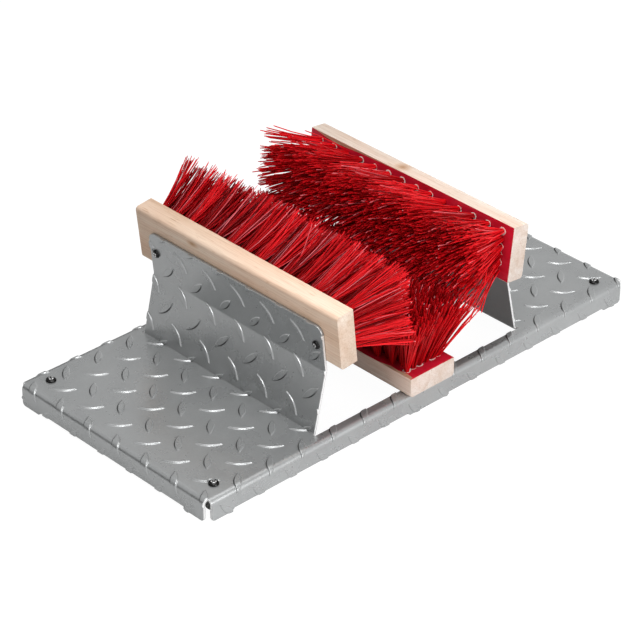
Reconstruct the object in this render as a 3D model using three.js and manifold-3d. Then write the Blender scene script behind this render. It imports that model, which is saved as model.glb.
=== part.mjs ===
// Boot scraper: a folded tread plate on rubber feet that carries three brushes.
// Millimetres. X runs along the plate, Y from front to back, Z up.
// The origin lies on the ground under the middle of the plate.

import * as THREE from 'three';
import { mergeGeometries, mergeVertices } from 'three/addons/utils/BufferGeometryUtils.js';
import Module from 'manifold-3d';

const wasm = await Module();
wasm.setup();

// Driving dimensions of the plate
const plateLength = 600;
const plateWidth = 289;
const plateHeight = 24.5;
const sheet = 3;
const insideBend = 3;
const neutralShare = 0.4;
const bendSteps = 3;
const kneeSteps = 2;
const footStep = 3;
const cornerFootLength = 25.5;
const footRamp = 4;
const middleFootHalf = 26;
const flangeCorner = 4;

// Driving dimensions of the opening and of the two tabs bent up from it
const railWidth = 13;
const tabSlot = 3.1;
const tabLowerLength = 68.4;
const tabUpperLength = 51.6;
const tabLeanIn = THREE.MathUtils.degToRad(12.7);
const tabLeanOut = THREE.MathUtils.degToRad(6.4);
const tabCorner = 9;
const foldBend = 1;
const kneeBend = 8;
const foldRelief = 0.3;
const lugSlot = 3.8;
const lugMargin = 12;
const lugCorner = 6;

// Driving dimensions of the raised tread bars
const treadPitchX = 42.4;
const treadPitchY = 43.4;
const treadStartX = -274.8;
const treadStartY = 102.8;
const treadLength = 28;
const treadWidth = 8;
const treadShoulder = 14.6;
const treadRidge = 15.7;
const treadHeight = 1.3;
const treadAngle = Math.PI / 4;
const treadSink = 0.6;
const treadClearance = 1;

// Driving dimensions of the three brushes
const bootGap = 70;
const blockOverhang = 4.5;
const blockWidth = 62.5;
const blockThickness = 21.7;
const blockRound = 4;
const blockAboveKnee = 9;
const faceLayer = 2;
const tuftRows = 6;
const tuftColumns = 27;
const tuftRowPitch = 8.7;
const tuftEndMargin = 15.5;
const strandLength = 71;
const strandRadius = 1.7;
const strandTipRadius = 1.2;
const strandSides = 3;
const strandSink = 1;
const strandJitter = 1.5;
const endFan = 24;
const sideFanUp = 24;
const sideFanDown = 24;
const floorFan = 7;
const scatterSeeds = { side: 1, floor: 400 };

// Driving dimensions of the fasteners and feet
const seatGap = 0.3;
const screwPlay = 0.3;
const blockScrewInset = 30;
const blockScrewHeight = 28.5;
const woodScrew = { shank: 2.2, head: 4.7, headHeight: 2.8, length: 17, tip: 4 };
const cornerScrew = { shank: 2.5, head: 5.5, headHeight: 3, length: 20, tip: 0.6 };
const headShoulder = { reach: 0.85, rise: 0.65 };
const headCrown = 0.45;
const tipNarrowing = 0.55;
const cornerScrewInsetX = 26.5;
const cornerScrewInsetY = 20.5;
const footProud = 1;
const footTopRadius = 10;
const footBottomRadius = 8.5;
const footTaperShare = 0.7;
const footWeb = 11;
const footPocketRadius = 5.8;
const washerRadius = 5.2;
const washerThickness = 1;
const nutAcross = 8;
const nutThickness = 4;
const drillOvershoot = 1;
const roundSegments = 12;
const cornerSegments = 3;
const weldTolerance = 1e-4;
const planeTolerance = 1e-3;
const lineGrid = 1024;

// Values worked out from the driving dimensions
const plateTop = plateHeight + footProud;
const outsideBend = insideBend + sheet;
const halfLength = plateLength / 2;
const halfWidth = plateWidth / 2;
const bendLineX = halfLength - outsideBend;
const bendLineY = halfWidth - outsideBend;
const flangeFlat = plateHeight - outsideBend;
const rightAngle = Math.PI / 2;
const openingHalfWidth = halfWidth - railWidth;
const tabHalfWidth = openingHalfWidth - tabSlot;
const blockLength = plateWidth + 2 * blockOverhang;
const blockScrewY = blockLength / 2 - blockScrewInset;
const sideBrushReach = sheet + seatGap + blockThickness + strandLength;
const kneeX = bootGap / 2 + sideBrushReach * Math.cos(tabLeanOut);
const kneeHeight = plateTop + tabLowerLength * Math.cos(tabLeanIn);
const tabFoldX = kneeX + tabLowerLength * Math.sin(tabLeanIn);
const firstBend = rightAngle - tabLeanIn;
const secondBend = tabLeanIn + tabLeanOut;
const foldCut = foldBend * Math.tan(firstBend / 2);
const tabBendLine = tabFoldX + foldCut;
const kneeCut = kneeBend * Math.tan(secondBend / 2);
const tabLowerFlat = tabLowerLength - foldCut - kneeCut;
const tabUpperFlat = tabUpperLength - kneeCut;

// Flat length of the sheet's neutral line round a bend
function bendAllowance(angle, radius) {
  return angle * (radius + neutralShare * sheet);
}

const flangeAllowance = bendAllowance(rightAngle, insideBend);
const foldAllowance = bendAllowance(firstBend, foldBend);
const kneeAllowance = bendAllowance(secondBend, kneeBend);
const kneeStart = foldAllowance + tabLowerFlat;
const kneeEnd = kneeStart + kneeAllowance;
const tabFlatLength = kneeEnd + tabUpperFlat;
const tabEndX = tabBendLine - tabFlatLength;
const tabSlotMiddle = tabEndX - lugSlot / 2;

// Solids: a closed three.js geometry becomes a solid that can be joined and cut, and back again
function solidOf(geometry) {
  const bare = geometry.clone();
  bare.deleteAttribute('normal');
  bare.deleteAttribute('uv');
  const merged = mergeVertices(bare, weldTolerance);
  return new wasm.Manifold(new wasm.Mesh({
    numProp: 3,
    vertProperties: Float32Array.from(merged.attributes.position.array),
    triVerts: Uint32Array.from(merged.index.array),
  }));
}

function geometryFrom(positions, triangles) {
  const geometry = new THREE.BufferGeometry();
  geometry.setAttribute('position', new THREE.Float32BufferAttribute(positions, 3));
  geometry.setIndex(Array.from(triangles));
  geometry.computeVertexNormals();
  return geometry;
}

function geometryOf(solid) {
  const mesh = solid.getMesh();
  return geometryFrom(Array.from(mesh.vertProperties), mesh.triVerts);
}

function extrude(shape, depth, base) {
  const settings = { depth, bevelEnabled: false, steps: 1, curveSegments: roundSegments / 2 };
  const geometry = new THREE.ExtrudeGeometry(shape, settings);
  geometry.translate(0, 0, base);
  return geometry;
}

// A cylinder along Z between two heights, used to drill holes
function drill(radius, low, high, x = 0, y = 0) {
  const geometry = new THREE.CylinderGeometry(radius, radius, high - low, roundSegments);
  geometry.rotateX(rightAngle);
  geometry.translate(x, y, (low + high) / 2);
  return solidOf(geometry);
}

function revolve(profile) {
  const points = profile.map(([radius, height]) => new THREE.Vector2(radius, height));
  const geometry = new THREE.LatheGeometry(points, roundSegments);
  geometry.rotateX(rightAngle);
  return geometry;
}

function boxSolid(low, high) {
  const size = new THREE.Vector3().subVectors(high, low);
  const geometry = new THREE.BoxGeometry(size.x, size.y, size.z);
  geometry.translate((low.x + high.x) / 2, (low.y + high.y) / 2, (low.z + high.z) / 2);
  return solidOf(geometry);
}

// Points of a quarter or other arc in the flat blank
function arcPoints(centreX, centreY, radius, from, to, steps = cornerSegments) {
  return Array.from({ length: steps + 1 }, (_, i) => {
    const angle = from + (to - from) * i / steps;
    return [centreX + radius * Math.cos(angle), centreY + radius * Math.sin(angle)];
  });
}

// Lines of the flat blank along which the sheet's facets break at a bend. They lie on a fine
// grid that single precision holds exactly, so strips cut there meet without a crack.
function breakLines(start, allowance, steps) {
  return Array.from({ length: steps + 1 }, (_, i) => {
    const line = start + allowance * i / steps;
    return Math.round(line * lineGrid) / lineGrid;
  });
}

const flangeBreaksX = breakLines(bendLineX, flangeAllowance, bendSteps);
const flangeBreaksY = breakLines(bendLineY, flangeAllowance, bendSteps);
const tabBreaks = [
  ...breakLines(tabBendLine, -foldAllowance, bendSteps),
  ...breakLines(tabBendLine - kneeStart, -kneeAllowance, kneeSteps),
];

// The flat blank
// One flange as points of distance along the bend line and depth past it, with feet at both
// ends, and one in the middle where middleHalf is over zero
function flangePoints(half, middleHalf) {
  const foot = flangeAllowance + flangeFlat;
  const raised = foot - footStep;
  const innerEnd = half - cornerFootLength;
  const corner = arcPoints(-half + flangeCorner, foot - flangeCorner, flangeCorner, Math.PI, rightAngle);
  const left = [[-half, 0], ...corner, [-innerEnd, foot], [-innerEnd + footRamp, raised]];
  if (middleHalf > 0) left.push([-middleHalf - footRamp, raised], [-middleHalf, foot]);
  const right = left.slice(1).reverse().map(([along, depth]) => [-along, depth]);
  return [...left, ...right];
}

function blankOutline() {
  const long = flangePoints(bendLineX, middleFootHalf);
  const short = flangePoints(bendLineY, 0);
  return [
    ...long.map(([along, depth]) => [along, -bendLineY - depth]),
    ...short.map(([along, depth]) => [bendLineX + depth, along]),
    ...long.map(([along, depth]) => [-along, bendLineY + depth]),
    ...short.map(([along, depth]) => [-bendLineX - depth, -along]),
  ];
}

// The slot that frees the two tabs, and leaves a lug for the floor brush at its front and back
function openingOutline() {
  const lugHalf = tabEndX - lugSlot;
  const lugTip = blockScrewY - lugMargin;
  const quarter = [
    ...arcPoints(tabEndX + tabCorner, tabHalfWidth - tabCorner, tabCorner, Math.PI, rightAngle),
    [tabBendLine + foldRelief, tabHalfWidth],
    [tabBendLine + foldRelief, openingHalfWidth],
    [lugHalf, openingHalfWidth],
    ...arcPoints(lugHalf - lugCorner, lugTip + lugCorner, lugCorner, 0, -rightAngle),
  ];
  const mirrored = quarter.slice().reverse();
  return [
    ...quarter,
    ...mirrored.map(([x, y]) => [-x, y]),
    ...quarter.map(([x, y]) => [-x, -y]),
    ...mirrored.map(([x, y]) => [x, -y]),
  ];
}

function pathOf(points, PathType) {
  return new PathType(points.map(([x, y]) => new THREE.Vector2(x, y)));
}

function blankPrism(base, depth) {
  const shape = pathOf(blankOutline(), THREE.Shape);
  shape.holes.push(pathOf(openingOutline(), THREE.Path));
  return solidOf(extrude(shape, depth, base));
}

// Screw places in the flat blank
const cornerScrewX = halfLength - cornerScrewInsetX;
const cornerScrewY = halfWidth - cornerScrewInsetY;
const tabScrewFlatX = tabBendLine - (kneeEnd - kneeCut + blockScrewHeight);
const signs = [-1, 1];
const fourCorners = signs.flatMap((sideX) => signs.map((sideY) => ({ sideX, sideY })));

const plateHoles = [
  ...fourCorners.map(({ sideX, sideY }) => ({
    x: sideX * cornerScrewX, y: sideY * cornerScrewY, screw: cornerScrew,
  })),
  ...fourCorners.map(({ sideX, sideY }) => ({
    x: sideX * tabScrewFlatX, y: sideY * blockScrewY, screw: woodScrew,
  })),
  ...signs.map((sideY) => ({ x: 0, y: sideY * blockScrewY, screw: woodScrew })),
];

// One raised bar: a pointed oval that rises to a short ridge
function treadBar(x, y, angle) {
  const halfBar = treadLength / 2;
  const halfRidge = treadRidge / 2;
  const shoulderX = treadShoulder / 2;
  const shoulderY = treadWidth / 2;
  const low = -treadSink;
  const rim = [
    [halfBar, 0], [shoulderX, shoulderY], [-shoulderX, shoulderY],
    [-halfBar, 0], [-shoulderX, -shoulderY], [shoulderX, -shoulderY],
  ];
  const positions = [
    ...rim.flatMap(([a, b]) => [a, b, low]),
    ...rim.flatMap(([a, b]) => [a, b, 0]),
    halfRidge, 0, treadHeight,
    -halfRidge, 0, treadHeight,
  ];
  const ridgeRight = 12;
  const ridgeLeft = 13;
  const triangles = [];
  for (let i = 0; i < 6; i += 1) {
    const next = (i + 1) % 6;
    triangles.push(i, next, 6 + next, i, 6 + next, 6 + i);
  }
  for (let i = 1; i < 5; i += 1) triangles.push(0, i + 1, i);
  triangles.push(6, 7, ridgeRight, 7, 8, ridgeLeft, 7, ridgeLeft, ridgeRight, 8, 9, ridgeLeft);
  triangles.push(9, 10, ridgeLeft, 10, 11, ridgeRight, 10, ridgeRight, ridgeLeft, 11, 6, ridgeRight);
  const geometry = geometryFrom(positions, triangles);
  geometry.rotateZ(angle);
  geometry.translate(x, y, 0);
  return geometry;
}

// Bars lie on two grids, turned one way and the other, half a pitch apart
function treadBars() {
  const reachX = bendLineX + flangeAllowance + flangeFlat;
  const reachY = bendLineY + flangeAllowance + flangeFlat;
  const bars = [];
  const columnShift = Math.ceil((treadStartX + reachX) / treadPitchX) + 1;
  const rowShift = Math.ceil((reachY - treadStartY) / treadPitchY) + 1;
  const columns = Math.ceil(2 * reachX / treadPitchX) + 3;
  const rows = Math.ceil(2 * reachY / treadPitchY) + 3;
  for (let i = 0; i < columns; i += 1) {
    for (let j = 0; j < rows; j += 1) {
      const x = treadStartX + (i - columnShift) * treadPitchX;
      const y = treadStartY + (rowShift - j) * treadPitchY;
      bars.push({ x, y, angle: -treadAngle });
      bars.push({ x: x + treadPitchX / 2, y: y + treadPitchY / 2, angle: treadAngle });
    }
  }
  const margin = treadLength / 2;
  return bars.filter(({ x, y }) => {
    const past = { x: Math.abs(x) - margin, y: Math.abs(y) - margin };
    const inCornerNotch = past.x > bendLineX && past.y > bendLineY;
    return past.x < reachX && past.y < reachY && !inCornerNotch;
  });
}

// Cuts a solid into strips at its bend lines and joins them again. Each strip keeps its own
// facets, so few triangles cross a bend line.
function stripped(solid) {
  const reach = plateLength;
  const strips = [];
  const ranges = (lines) => lines.slice(1).map((line, i) => [lines[i], line]);
  for (const side of signs) {
    const slab = (from, to, across, alongX) => {
      const low = new THREE.Vector3(Math.min(side * from, side * to), -across, -reach);
      const high = new THREE.Vector3(Math.max(side * from, side * to), across, reach);
      if (!alongX) {
        [low.x, low.y] = [low.y, low.x];
        [high.x, high.y] = [high.y, high.x];
      }
      strips.push(boxSolid(low, high));
    };
    for (const [from, to] of ranges([...flangeBreaksX, reach])) slab(from, to, reach, true);
    for (const [from, to] of ranges([...flangeBreaksY, reach])) slab(from, to, reach, false);
    for (const [from, to] of ranges([...tabBreaks, tabSlotMiddle])) slab(from, to, openingHalfWidth, true);
  }
  let rest = solid;
  const pieces = [];
  for (const strip of strips) {
    pieces.push(solidOf(geometryOf(rest.intersect(strip))));
    rest = rest.subtract(strip);
  }
  return pieces.reduce((sum, piece) => sum.add(piece), solidOf(geometryOf(rest)));
}

function flatBlank() {
  const bars = mergeGeometries(treadBars().map(({ x, y, angle }) => treadBar(x, y, angle)));
  let clip = blankPrism(-sheet, sheet + 2 * treadHeight);
  let blank = stripped(blankPrism(-sheet, sheet));
  const high = 3 * treadHeight;
  for (const { x, y, screw } of plateHoles) {
    blank = blank.subtract(drill(screw.shank + screwPlay, -2 * sheet, high, x, y));
    clip = clip.subtract(drill(screw.head + treadClearance, -2 * sheet, high, x, y));
  }
  const centred = (halfX, halfY) => boxSolid(
    new THREE.Vector3(-halfX, -halfY, -2 * sheet),
    new THREE.Vector3(halfX, halfY, high),
  );
  // No bar rises where the floor brush sits, on the rails and lugs. The tabs' ends lie beside
  // the lugs in the flat blank and keep their bars.
  const seatX = blockWidth / 2 + treadClearance;
  const seatY = blockLength / 2 + treadClearance;
  const lugs = centred(tabSlotMiddle, openingHalfWidth);
  const tabEnds = centred(seatX, openingHalfWidth).subtract(lugs);
  clip = clip.subtract(centred(seatX, seatY).subtract(tabEnds));
  return blank.add(solidOf(bars).intersect(clip));
}

// Folding
// A fold path is a list of bends and flats. It turns a distance along the flat blank, and a
// height over its top face, into a place across the folded section. A positive angle bends
// towards the top face.
function foldPoint(path, distance, height) {
  let along = distance;
  let place = new THREE.Vector2(0, 0);
  let heading = 0;
  for (const { angle, radius, allowance, flat } of path) {
    if (along <= 0) break;
    if (angle) {
      const turn = angle * Math.min(1, along / allowance);
      const toCentre = angle > 0 ? radius : -(radius + sheet);
      const centre = place.clone().add(normalOf(heading).multiplyScalar(toCentre));
      heading += turn;
      place = centre.sub(normalOf(heading).multiplyScalar(toCentre));
      along -= allowance;
    } else {
      place.add(tangentOf(heading).multiplyScalar(Math.min(along, flat)));
      along -= flat;
    }
  }
  if (distance < 0) place.x += distance;
  return place.add(normalOf(heading).multiplyScalar(height));
}

function tangentOf(heading) {
  return new THREE.Vector2(Math.cos(heading), Math.sin(heading));
}

function normalOf(heading) {
  return new THREE.Vector2(-Math.sin(heading), Math.cos(heading));
}

const flangePath = [
  { angle: -rightAngle, radius: insideBend, allowance: flangeAllowance },
  { flat: Infinity },
];
const tabPath = [
  { angle: firstBend, radius: foldBend, allowance: foldAllowance },
  { flat: tabLowerFlat },
  { angle: secondBend, radius: kneeBend, allowance: kneeAllowance },
  { flat: Infinity },
];

// Whether a place in the flat blank belongs to a tab: inside the middle of the slot round it
const tabReach = tabHalfWidth + tabSlot / 2;

function onTab(x, y) {
  return Math.abs(y) < tabReach && Math.abs(x) > tabSlotMiddle && Math.abs(x) < tabBendLine;
}

// Splits every triangle that crosses the plane where the given axis equals value, if it crosses
// it within reach of the middle. Neighbours share the new points, so the mesh stays closed.
function splitAt(mesh, axis, value, reach) {
  const { points } = mesh;
  const cuts = new Map();
  const crossing = (a, b) => {
    const share = (value - points[a][axis]) / (points[b][axis] - points[a][axis]);
    const point = points[a].map((start, k) => start + (points[b][k] - start) * share);
    point[axis] = value;
    return point;
  };
  const cutPoint = (a, b) => {
    const key = a < b ? `${a}_${b}` : `${b}_${a}`;
    if (!cuts.has(key)) {
      points.push(crossing(a, b));
      cuts.set(key, points.length - 1);
    }
    return cuts.get(key);
  };
  const side = (index) => {
    const offset = points[index][axis] - value;
    return Math.abs(offset) < planeTolerance ? 0 : Math.sign(offset);
  };
  const triangles = [];
  for (const triangle of mesh.triangles) {
    const sides = triangle.map(side);
    const above = triangle[sides.indexOf(1)];
    const below = triangle[sides.indexOf(-1)];
    const crosses = sides.includes(1) && sides.includes(-1);
    if (!crosses || Math.abs(crossing(above, below)[1 - axis]) > reach) {
      triangles.push(triangle);
      continue;
    }
    // Turn the triangle so that its first corner lies alone on its side, or on the plane
    let first = sides.indexOf(0);
    if (first < 0) first = sides.findIndex((own) => sides.filter((other) => other === own).length === 1);
    const [a, b, c] = [0, 1, 2].map((k) => triangle[(first + k) % 3]);
    if (side(a) === 0) {
      const onEdge = cutPoint(b, c);
      triangles.push([a, b, onEdge], [a, onEdge, c]);
    } else {
      const onFirst = cutPoint(a, b);
      const onLast = cutPoint(c, a);
      triangles.push([a, onFirst, onLast], [onFirst, b, c], [onFirst, c, onLast]);
    }
  }
  return { points, triangles };
}

function foldBlank(solid) {
  const flat = solid.getMesh();
  const points = [];
  for (let i = 0; i < flat.vertProperties.length; i += 3) {
    points.push([flat.vertProperties[i], flat.vertProperties[i + 1], flat.vertProperties[i + 2]]);
  }
  const triangles = [];
  for (let i = 0; i < flat.triVerts.length; i += 3) {
    triangles.push([flat.triVerts[i], flat.triVerts[i + 1], flat.triVerts[i + 2]]);
  }
  let mesh = { points, triangles };
  for (const side of signs) {
    for (const line of flangeBreaksX) mesh = splitAt(mesh, 0, side * line, Infinity);
    for (const line of flangeBreaksY) mesh = splitAt(mesh, 1, side * line, Infinity);
    for (const line of tabBreaks) mesh = splitAt(mesh, 0, side * line, tabReach);
  }
  const folded = mesh.points.flatMap(([x, y, z]) => {
    const sideX = Math.sign(x);
    const sideY = Math.sign(y);
    if (Math.abs(x) > bendLineX) {
      const place = foldPoint(flangePath, Math.abs(x) - bendLineX, z);
      return [sideX * (bendLineX + place.x), y, plateTop + place.y];
    }
    if (Math.abs(y) > bendLineY) {
      const place = foldPoint(flangePath, Math.abs(y) - bendLineY, z);
      return [x, sideY * (bendLineY + place.x), plateTop + place.y];
    }
    if (onTab(x, y)) {
      const place = foldPoint(tabPath, tabBendLine - Math.abs(x), z);
      return [sideX * (tabBendLine - place.x), y, plateTop + place.y];
    }
    return [x, y, plateTop + z];
  });
  return geometryFrom(folded, mesh.triangles.flat());
}

// Brushes
// A brush is modelled lying with its bristles up: X across, Y along, Z = 0 at its back face.
function woodBlock(screwHoles) {
  const half = blockWidth / 2;
  const top = blockThickness - faceLayer - seatGap;
  const outline = [
    [half, top], [-half, top],
    ...arcPoints(-half + blockRound, blockRound, blockRound, Math.PI, 3 * rightAngle),
    ...arcPoints(half - blockRound, blockRound, blockRound, -rightAngle, 0),
  ];
  const geometry = extrude(pathOf(outline, THREE.Shape), blockLength, -blockLength / 2);
  geometry.rotateX(rightAngle);
  let block = solidOf(geometry);
  for (const { x, y } of screwHoles) {
    const depth = woodScrew.length - sheet + 2 * seatGap;
    block = block.subtract(drill(woodScrew.shank + screwPlay, -drillOvershoot, depth, x, y));
  }
  return geometryOf(block);
}

// A repeatable scatter between -1 and 1: the fraction of a fast, tall sine wave
function scatter(seed) {
  const wave = 43758.5 * Math.sin(12.99 * seed);
  return 2 * (wave - Math.floor(wave)) - 1;
}

// A straight strand that narrows to its tip
function strand(root, tip) {
  const direction = new THREE.Vector3().subVectors(tip, root).normalize();
  const turn = new THREE.Quaternion().setFromUnitVectors(new THREE.Vector3(0, 0, 1), direction);
  const positions = [];
  for (const [end, radius] of [[root, strandRadius], [tip, strandTipRadius]]) {
    for (let i = 0; i < strandSides; i += 1) {
      const angle = 2 * Math.PI * i / strandSides;
      const corner = new THREE.Vector3(radius * Math.cos(angle), radius * Math.sin(angle), 0);
      positions.push(...corner.applyQuaternion(turn).add(end).toArray());
    }
  }
  const triangles = [];
  for (let i = 0; i < strandSides; i += 1) {
    const next = (i + 1) % strandSides;
    triangles.push(i, next, strandSides + next, i, strandSides + next, strandSides + i);
  }
  for (let i = 1; i < strandSides - 1; i += 1) {
    triangles.push(0, i + 1, i, strandSides, strandSides + i, strandSides + i + 1);
  }
  return geometryFrom(positions, triangles);
}

// The red face of a brush with one strand for each tuft. Every other column of tufts is shifted
// by half a pitch and is one tuft shorter. The strands fan out towards the ends by endFan, and
// across the brush by fanLow at -X and fanHigh at +X. The outermost ones are not scattered, so
// the brush keeps its size.
function bristleBed(fanLow, fanHigh, seed) {
  const face = blockThickness;
  const half = blockWidth / 2;
  const layer = boxSolid(
    new THREE.Vector3(-half, -blockLength / 2, face - faceLayer),
    new THREE.Vector3(half, blockLength / 2, face),
  );
  const rowSpan = tuftRowPitch * (tuftRows - 1) / 2;
  const columnSpan = blockLength / 2 - tuftEndMargin;
  const strands = [];
  for (let column = 0; column < tuftColumns; column += 1) {
    const shift = column % 2;
    for (let row = 0; row < tuftRows - shift; row += 1) {
      const across = (2 * row + shift) / (tuftRows - 1) - 1;
      const along = 2 * column / (tuftColumns - 1) - 1;
      const number = seed + column * tuftRows + row;
      const outermost = Math.abs(across) === 1 || Math.abs(along) === 1;
      const jitter = outermost ? 0 : strandJitter;
      const leanX = (across < 0 ? fanLow : fanHigh) * across + jitter * scatter(number);
      const leanY = endFan * along ** 3 + jitter * scatter(number + 0.5);
      const rise = Math.sqrt(strandLength ** 2 - leanX ** 2 - leanY ** 2);
      const root = new THREE.Vector3(across * rowSpan, along * columnSpan, face);
      const reach = new THREE.Vector3(leanX, leanY, rise);
      const sunk = root.clone().addScaledVector(reach, -strandSink / rise);
      strands.push(strand(sunk, root.add(reach)));
    }
  }
  return geometryOf(layer.add(solidOf(mergeGeometries(strands))));
}

// Fasteners and feet
// A screw hangs from Z = 0, the underside of its head, with its shank along -Z
function screwGeometry({ shank, head, headHeight, length, tip }) {
  return revolve([
    [0, -length],
    [shank * tipNarrowing, -length],
    [shank, -length + tip],
    [shank, 0],
    [head, 0],
    [head * headShoulder.reach, headHeight * headShoulder.rise],
    [head * headCrown, headHeight],
    [0, headHeight],
  ]);
}

function ringGeometry(inner, outer, thickness) {
  return revolve([[inner, 0], [outer, 0], [outer, thickness], [inner, thickness], [inner, 0]]);
}

function nutGeometry() {
  const corners = arcPoints(0, 0, nutAcross / Math.sqrt(3), 0, 2 * Math.PI, 6).slice(1);
  const hexagon = pathOf(corners, THREE.Shape);
  hexagon.holes.push(new THREE.Path().absarc(0, 0, cornerScrew.shank + screwPlay, 0, 2 * Math.PI));
  return extrude(hexagon, nutThickness, 0);
}

// A foot stands on Z = 0 and has a pocket for the washer and nut in its underside
function footGeometry() {
  const height = plateTop - sheet - seatGap;
  const hole = cornerScrew.shank + screwPlay;
  return revolve([
    [footPocketRadius, 0],
    [footBottomRadius, 0],
    [footTopRadius, height * footTaperShare],
    [footTopRadius, height],
    [hole, height],
    [hole, height - footWeb],
    [footPocketRadius, height - footWeb],
    [footPocketRadius, 0],
  ]);
}

// Materials
function material(color, roughness, metalness) {
  return new THREE.MeshStandardMaterial({ color, roughness, metalness, flatShading: true });
}

const finishes = {
  plate: material(0x969a99, 0.45, 0.6),
  wood: material(0xcbb094, 0.7, 0),
  bristle: material(0xb5121f, 0.4, 0),
  rubber: material(0xb9b8b2, 0.85, 0),
  steel: material(0xc9cbcc, 0.3, 1),
};

const bootScraper = new THREE.Group();

function place(parent, name, geometry, finish) {
  const mesh = new THREE.Mesh(geometry, finish);
  mesh.name = name;
  parent.add(mesh);
  return mesh;
}

// Assembly
place(bootScraper, 'base_plate', foldBlank(flatBlank()), finishes.plate);

// Each side brush leans on the inner face of its tab. Its group has Z along the bristles, and X
// up along the tab.
const sideNames = { '-1': 'left', 1: 'right' };
const endNames = { '-1': 'front', 1: 'back' };
const blockMiddle = blockAboveKnee + blockWidth / 2;
const sideHoles = signs.map((sideY) => ({ x: blockScrewHeight - blockMiddle, y: sideY * blockScrewY }));

for (const side of signs) {
  const name = sideNames[side];
  const up = new THREE.Vector3(side * Math.sin(tabLeanOut), 0, Math.cos(tabLeanOut));
  const inward = new THREE.Vector3(-side * Math.cos(tabLeanOut), 0, Math.sin(tabLeanOut));
  const along = new THREE.Vector3().crossVectors(inward, up);
  const brush = new THREE.Group();
  brush.quaternion.setFromRotationMatrix(new THREE.Matrix4().makeBasis(up, along, inward));
  brush.position.set(side * kneeX, 0, kneeHeight).addScaledVector(inward, sheet);
  brush.position.addScaledVector(up, blockMiddle);
  bootScraper.add(brush);
  const block = place(brush, `${name}_brush_block`, woodBlock(sideHoles), finishes.wood);
  const bristles = bristleBed(sideFanDown, sideFanUp, scatterSeeds.side);
  const bed = place(brush, `${name}_bristles`, bristles, finishes.bristle);
  block.position.z = seatGap;
  bed.position.z = seatGap;
  for (const sideY of signs) {
    const screwName = `${name}_brush_screw_${endNames[sideY * side]}`;
    const screw = place(brush, screwName, screwGeometry(woodScrew), finishes.steel);
    screw.rotation.x = Math.PI;
    screw.position.set(blockScrewHeight - blockMiddle, sideY * blockScrewY, -sheet - seatGap);
  }
}

// The floor brush lies across the middle on the two lugs, screwed from below
const floorBrush = new THREE.Group();
floorBrush.position.z = plateTop + seatGap;
bootScraper.add(floorBrush);
const floorHoles = signs.map((sideY) => ({ x: 0, y: sideY * blockScrewY }));
place(floorBrush, 'floor_brush_block', woodBlock(floorHoles), finishes.wood);
place(floorBrush, 'floor_bristles', bristleBed(floorFan, floorFan, scatterSeeds.floor), finishes.bristle);
for (const sideY of signs) {
  const screwName = `floor_brush_screw_${endNames[sideY]}`;
  const screw = place(bootScraper, screwName, screwGeometry(woodScrew), finishes.steel);
  screw.rotation.x = Math.PI;
  screw.position.set(0, sideY * blockScrewY, plateTop - sheet - seatGap);
}

// Feet under the four corners, each on a screw with a washer and a nut
const webUnderside = plateTop - sheet - seatGap - footWeb;
const washerBase = webUnderside - seatGap - washerThickness;
const nutBase = washerBase - seatGap - nutThickness;
for (const { sideX, sideY } of fourCorners) {
  const corner = `${endNames[sideY]}_${sideNames[sideX]}`;
  const stack = new THREE.Group();
  stack.position.set(sideX * cornerScrewX, sideY * cornerScrewY, 0);
  bootScraper.add(stack);
  place(stack, `rubber_foot_${corner}`, footGeometry(), finishes.rubber);
  const screw = place(stack, `corner_screw_${corner}`, screwGeometry(cornerScrew), finishes.steel);
  screw.position.z = plateTop + seatGap;
  const hole = cornerScrew.shank + screwPlay;
  const ring = ringGeometry(hole, washerRadius, washerThickness);
  const washer = place(stack, `foot_washer_${corner}`, ring, finishes.steel);
  washer.position.z = washerBase;
  const nut = place(stack, `foot_nut_${corner}`, nutGeometry(), finishes.steel);
  nut.position.z = nutBase;
}

export default bootScraper;
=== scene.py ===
from math import copysign, cos, hypot, inf, pi, radians, sin, sqrt, tan

import bmesh
import bpy
import numpy as np
from mathutils import Matrix, Vector
from mathutils.geometry import delaunay_2d_cdt


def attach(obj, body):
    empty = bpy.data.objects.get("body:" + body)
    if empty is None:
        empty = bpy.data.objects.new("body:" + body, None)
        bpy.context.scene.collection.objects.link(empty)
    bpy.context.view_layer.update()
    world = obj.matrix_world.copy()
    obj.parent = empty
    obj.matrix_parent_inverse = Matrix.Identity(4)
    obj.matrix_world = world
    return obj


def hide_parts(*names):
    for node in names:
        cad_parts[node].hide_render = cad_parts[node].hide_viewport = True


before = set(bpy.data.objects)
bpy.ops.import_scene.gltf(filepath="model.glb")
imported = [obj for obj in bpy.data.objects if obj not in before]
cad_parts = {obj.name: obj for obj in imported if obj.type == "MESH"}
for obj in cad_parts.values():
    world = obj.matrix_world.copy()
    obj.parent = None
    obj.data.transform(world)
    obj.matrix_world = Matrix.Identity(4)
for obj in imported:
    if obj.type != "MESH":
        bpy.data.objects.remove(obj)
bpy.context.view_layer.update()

# All sizes are millimetres, as in the CAD source, unless a name says otherwise
MM = 0.001
SIGNS = (-1, 1)
SQUARE = ((-1, -1), (1, -1), (1, 1), (-1, 1))
# Points nearer than this count as touching, and strands stay as far off a hole's wall
CLOSE = 0.1
# Faces that turn by more degrees than this meet in a sharp edge
SHARP_ANGLE = 35

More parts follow.
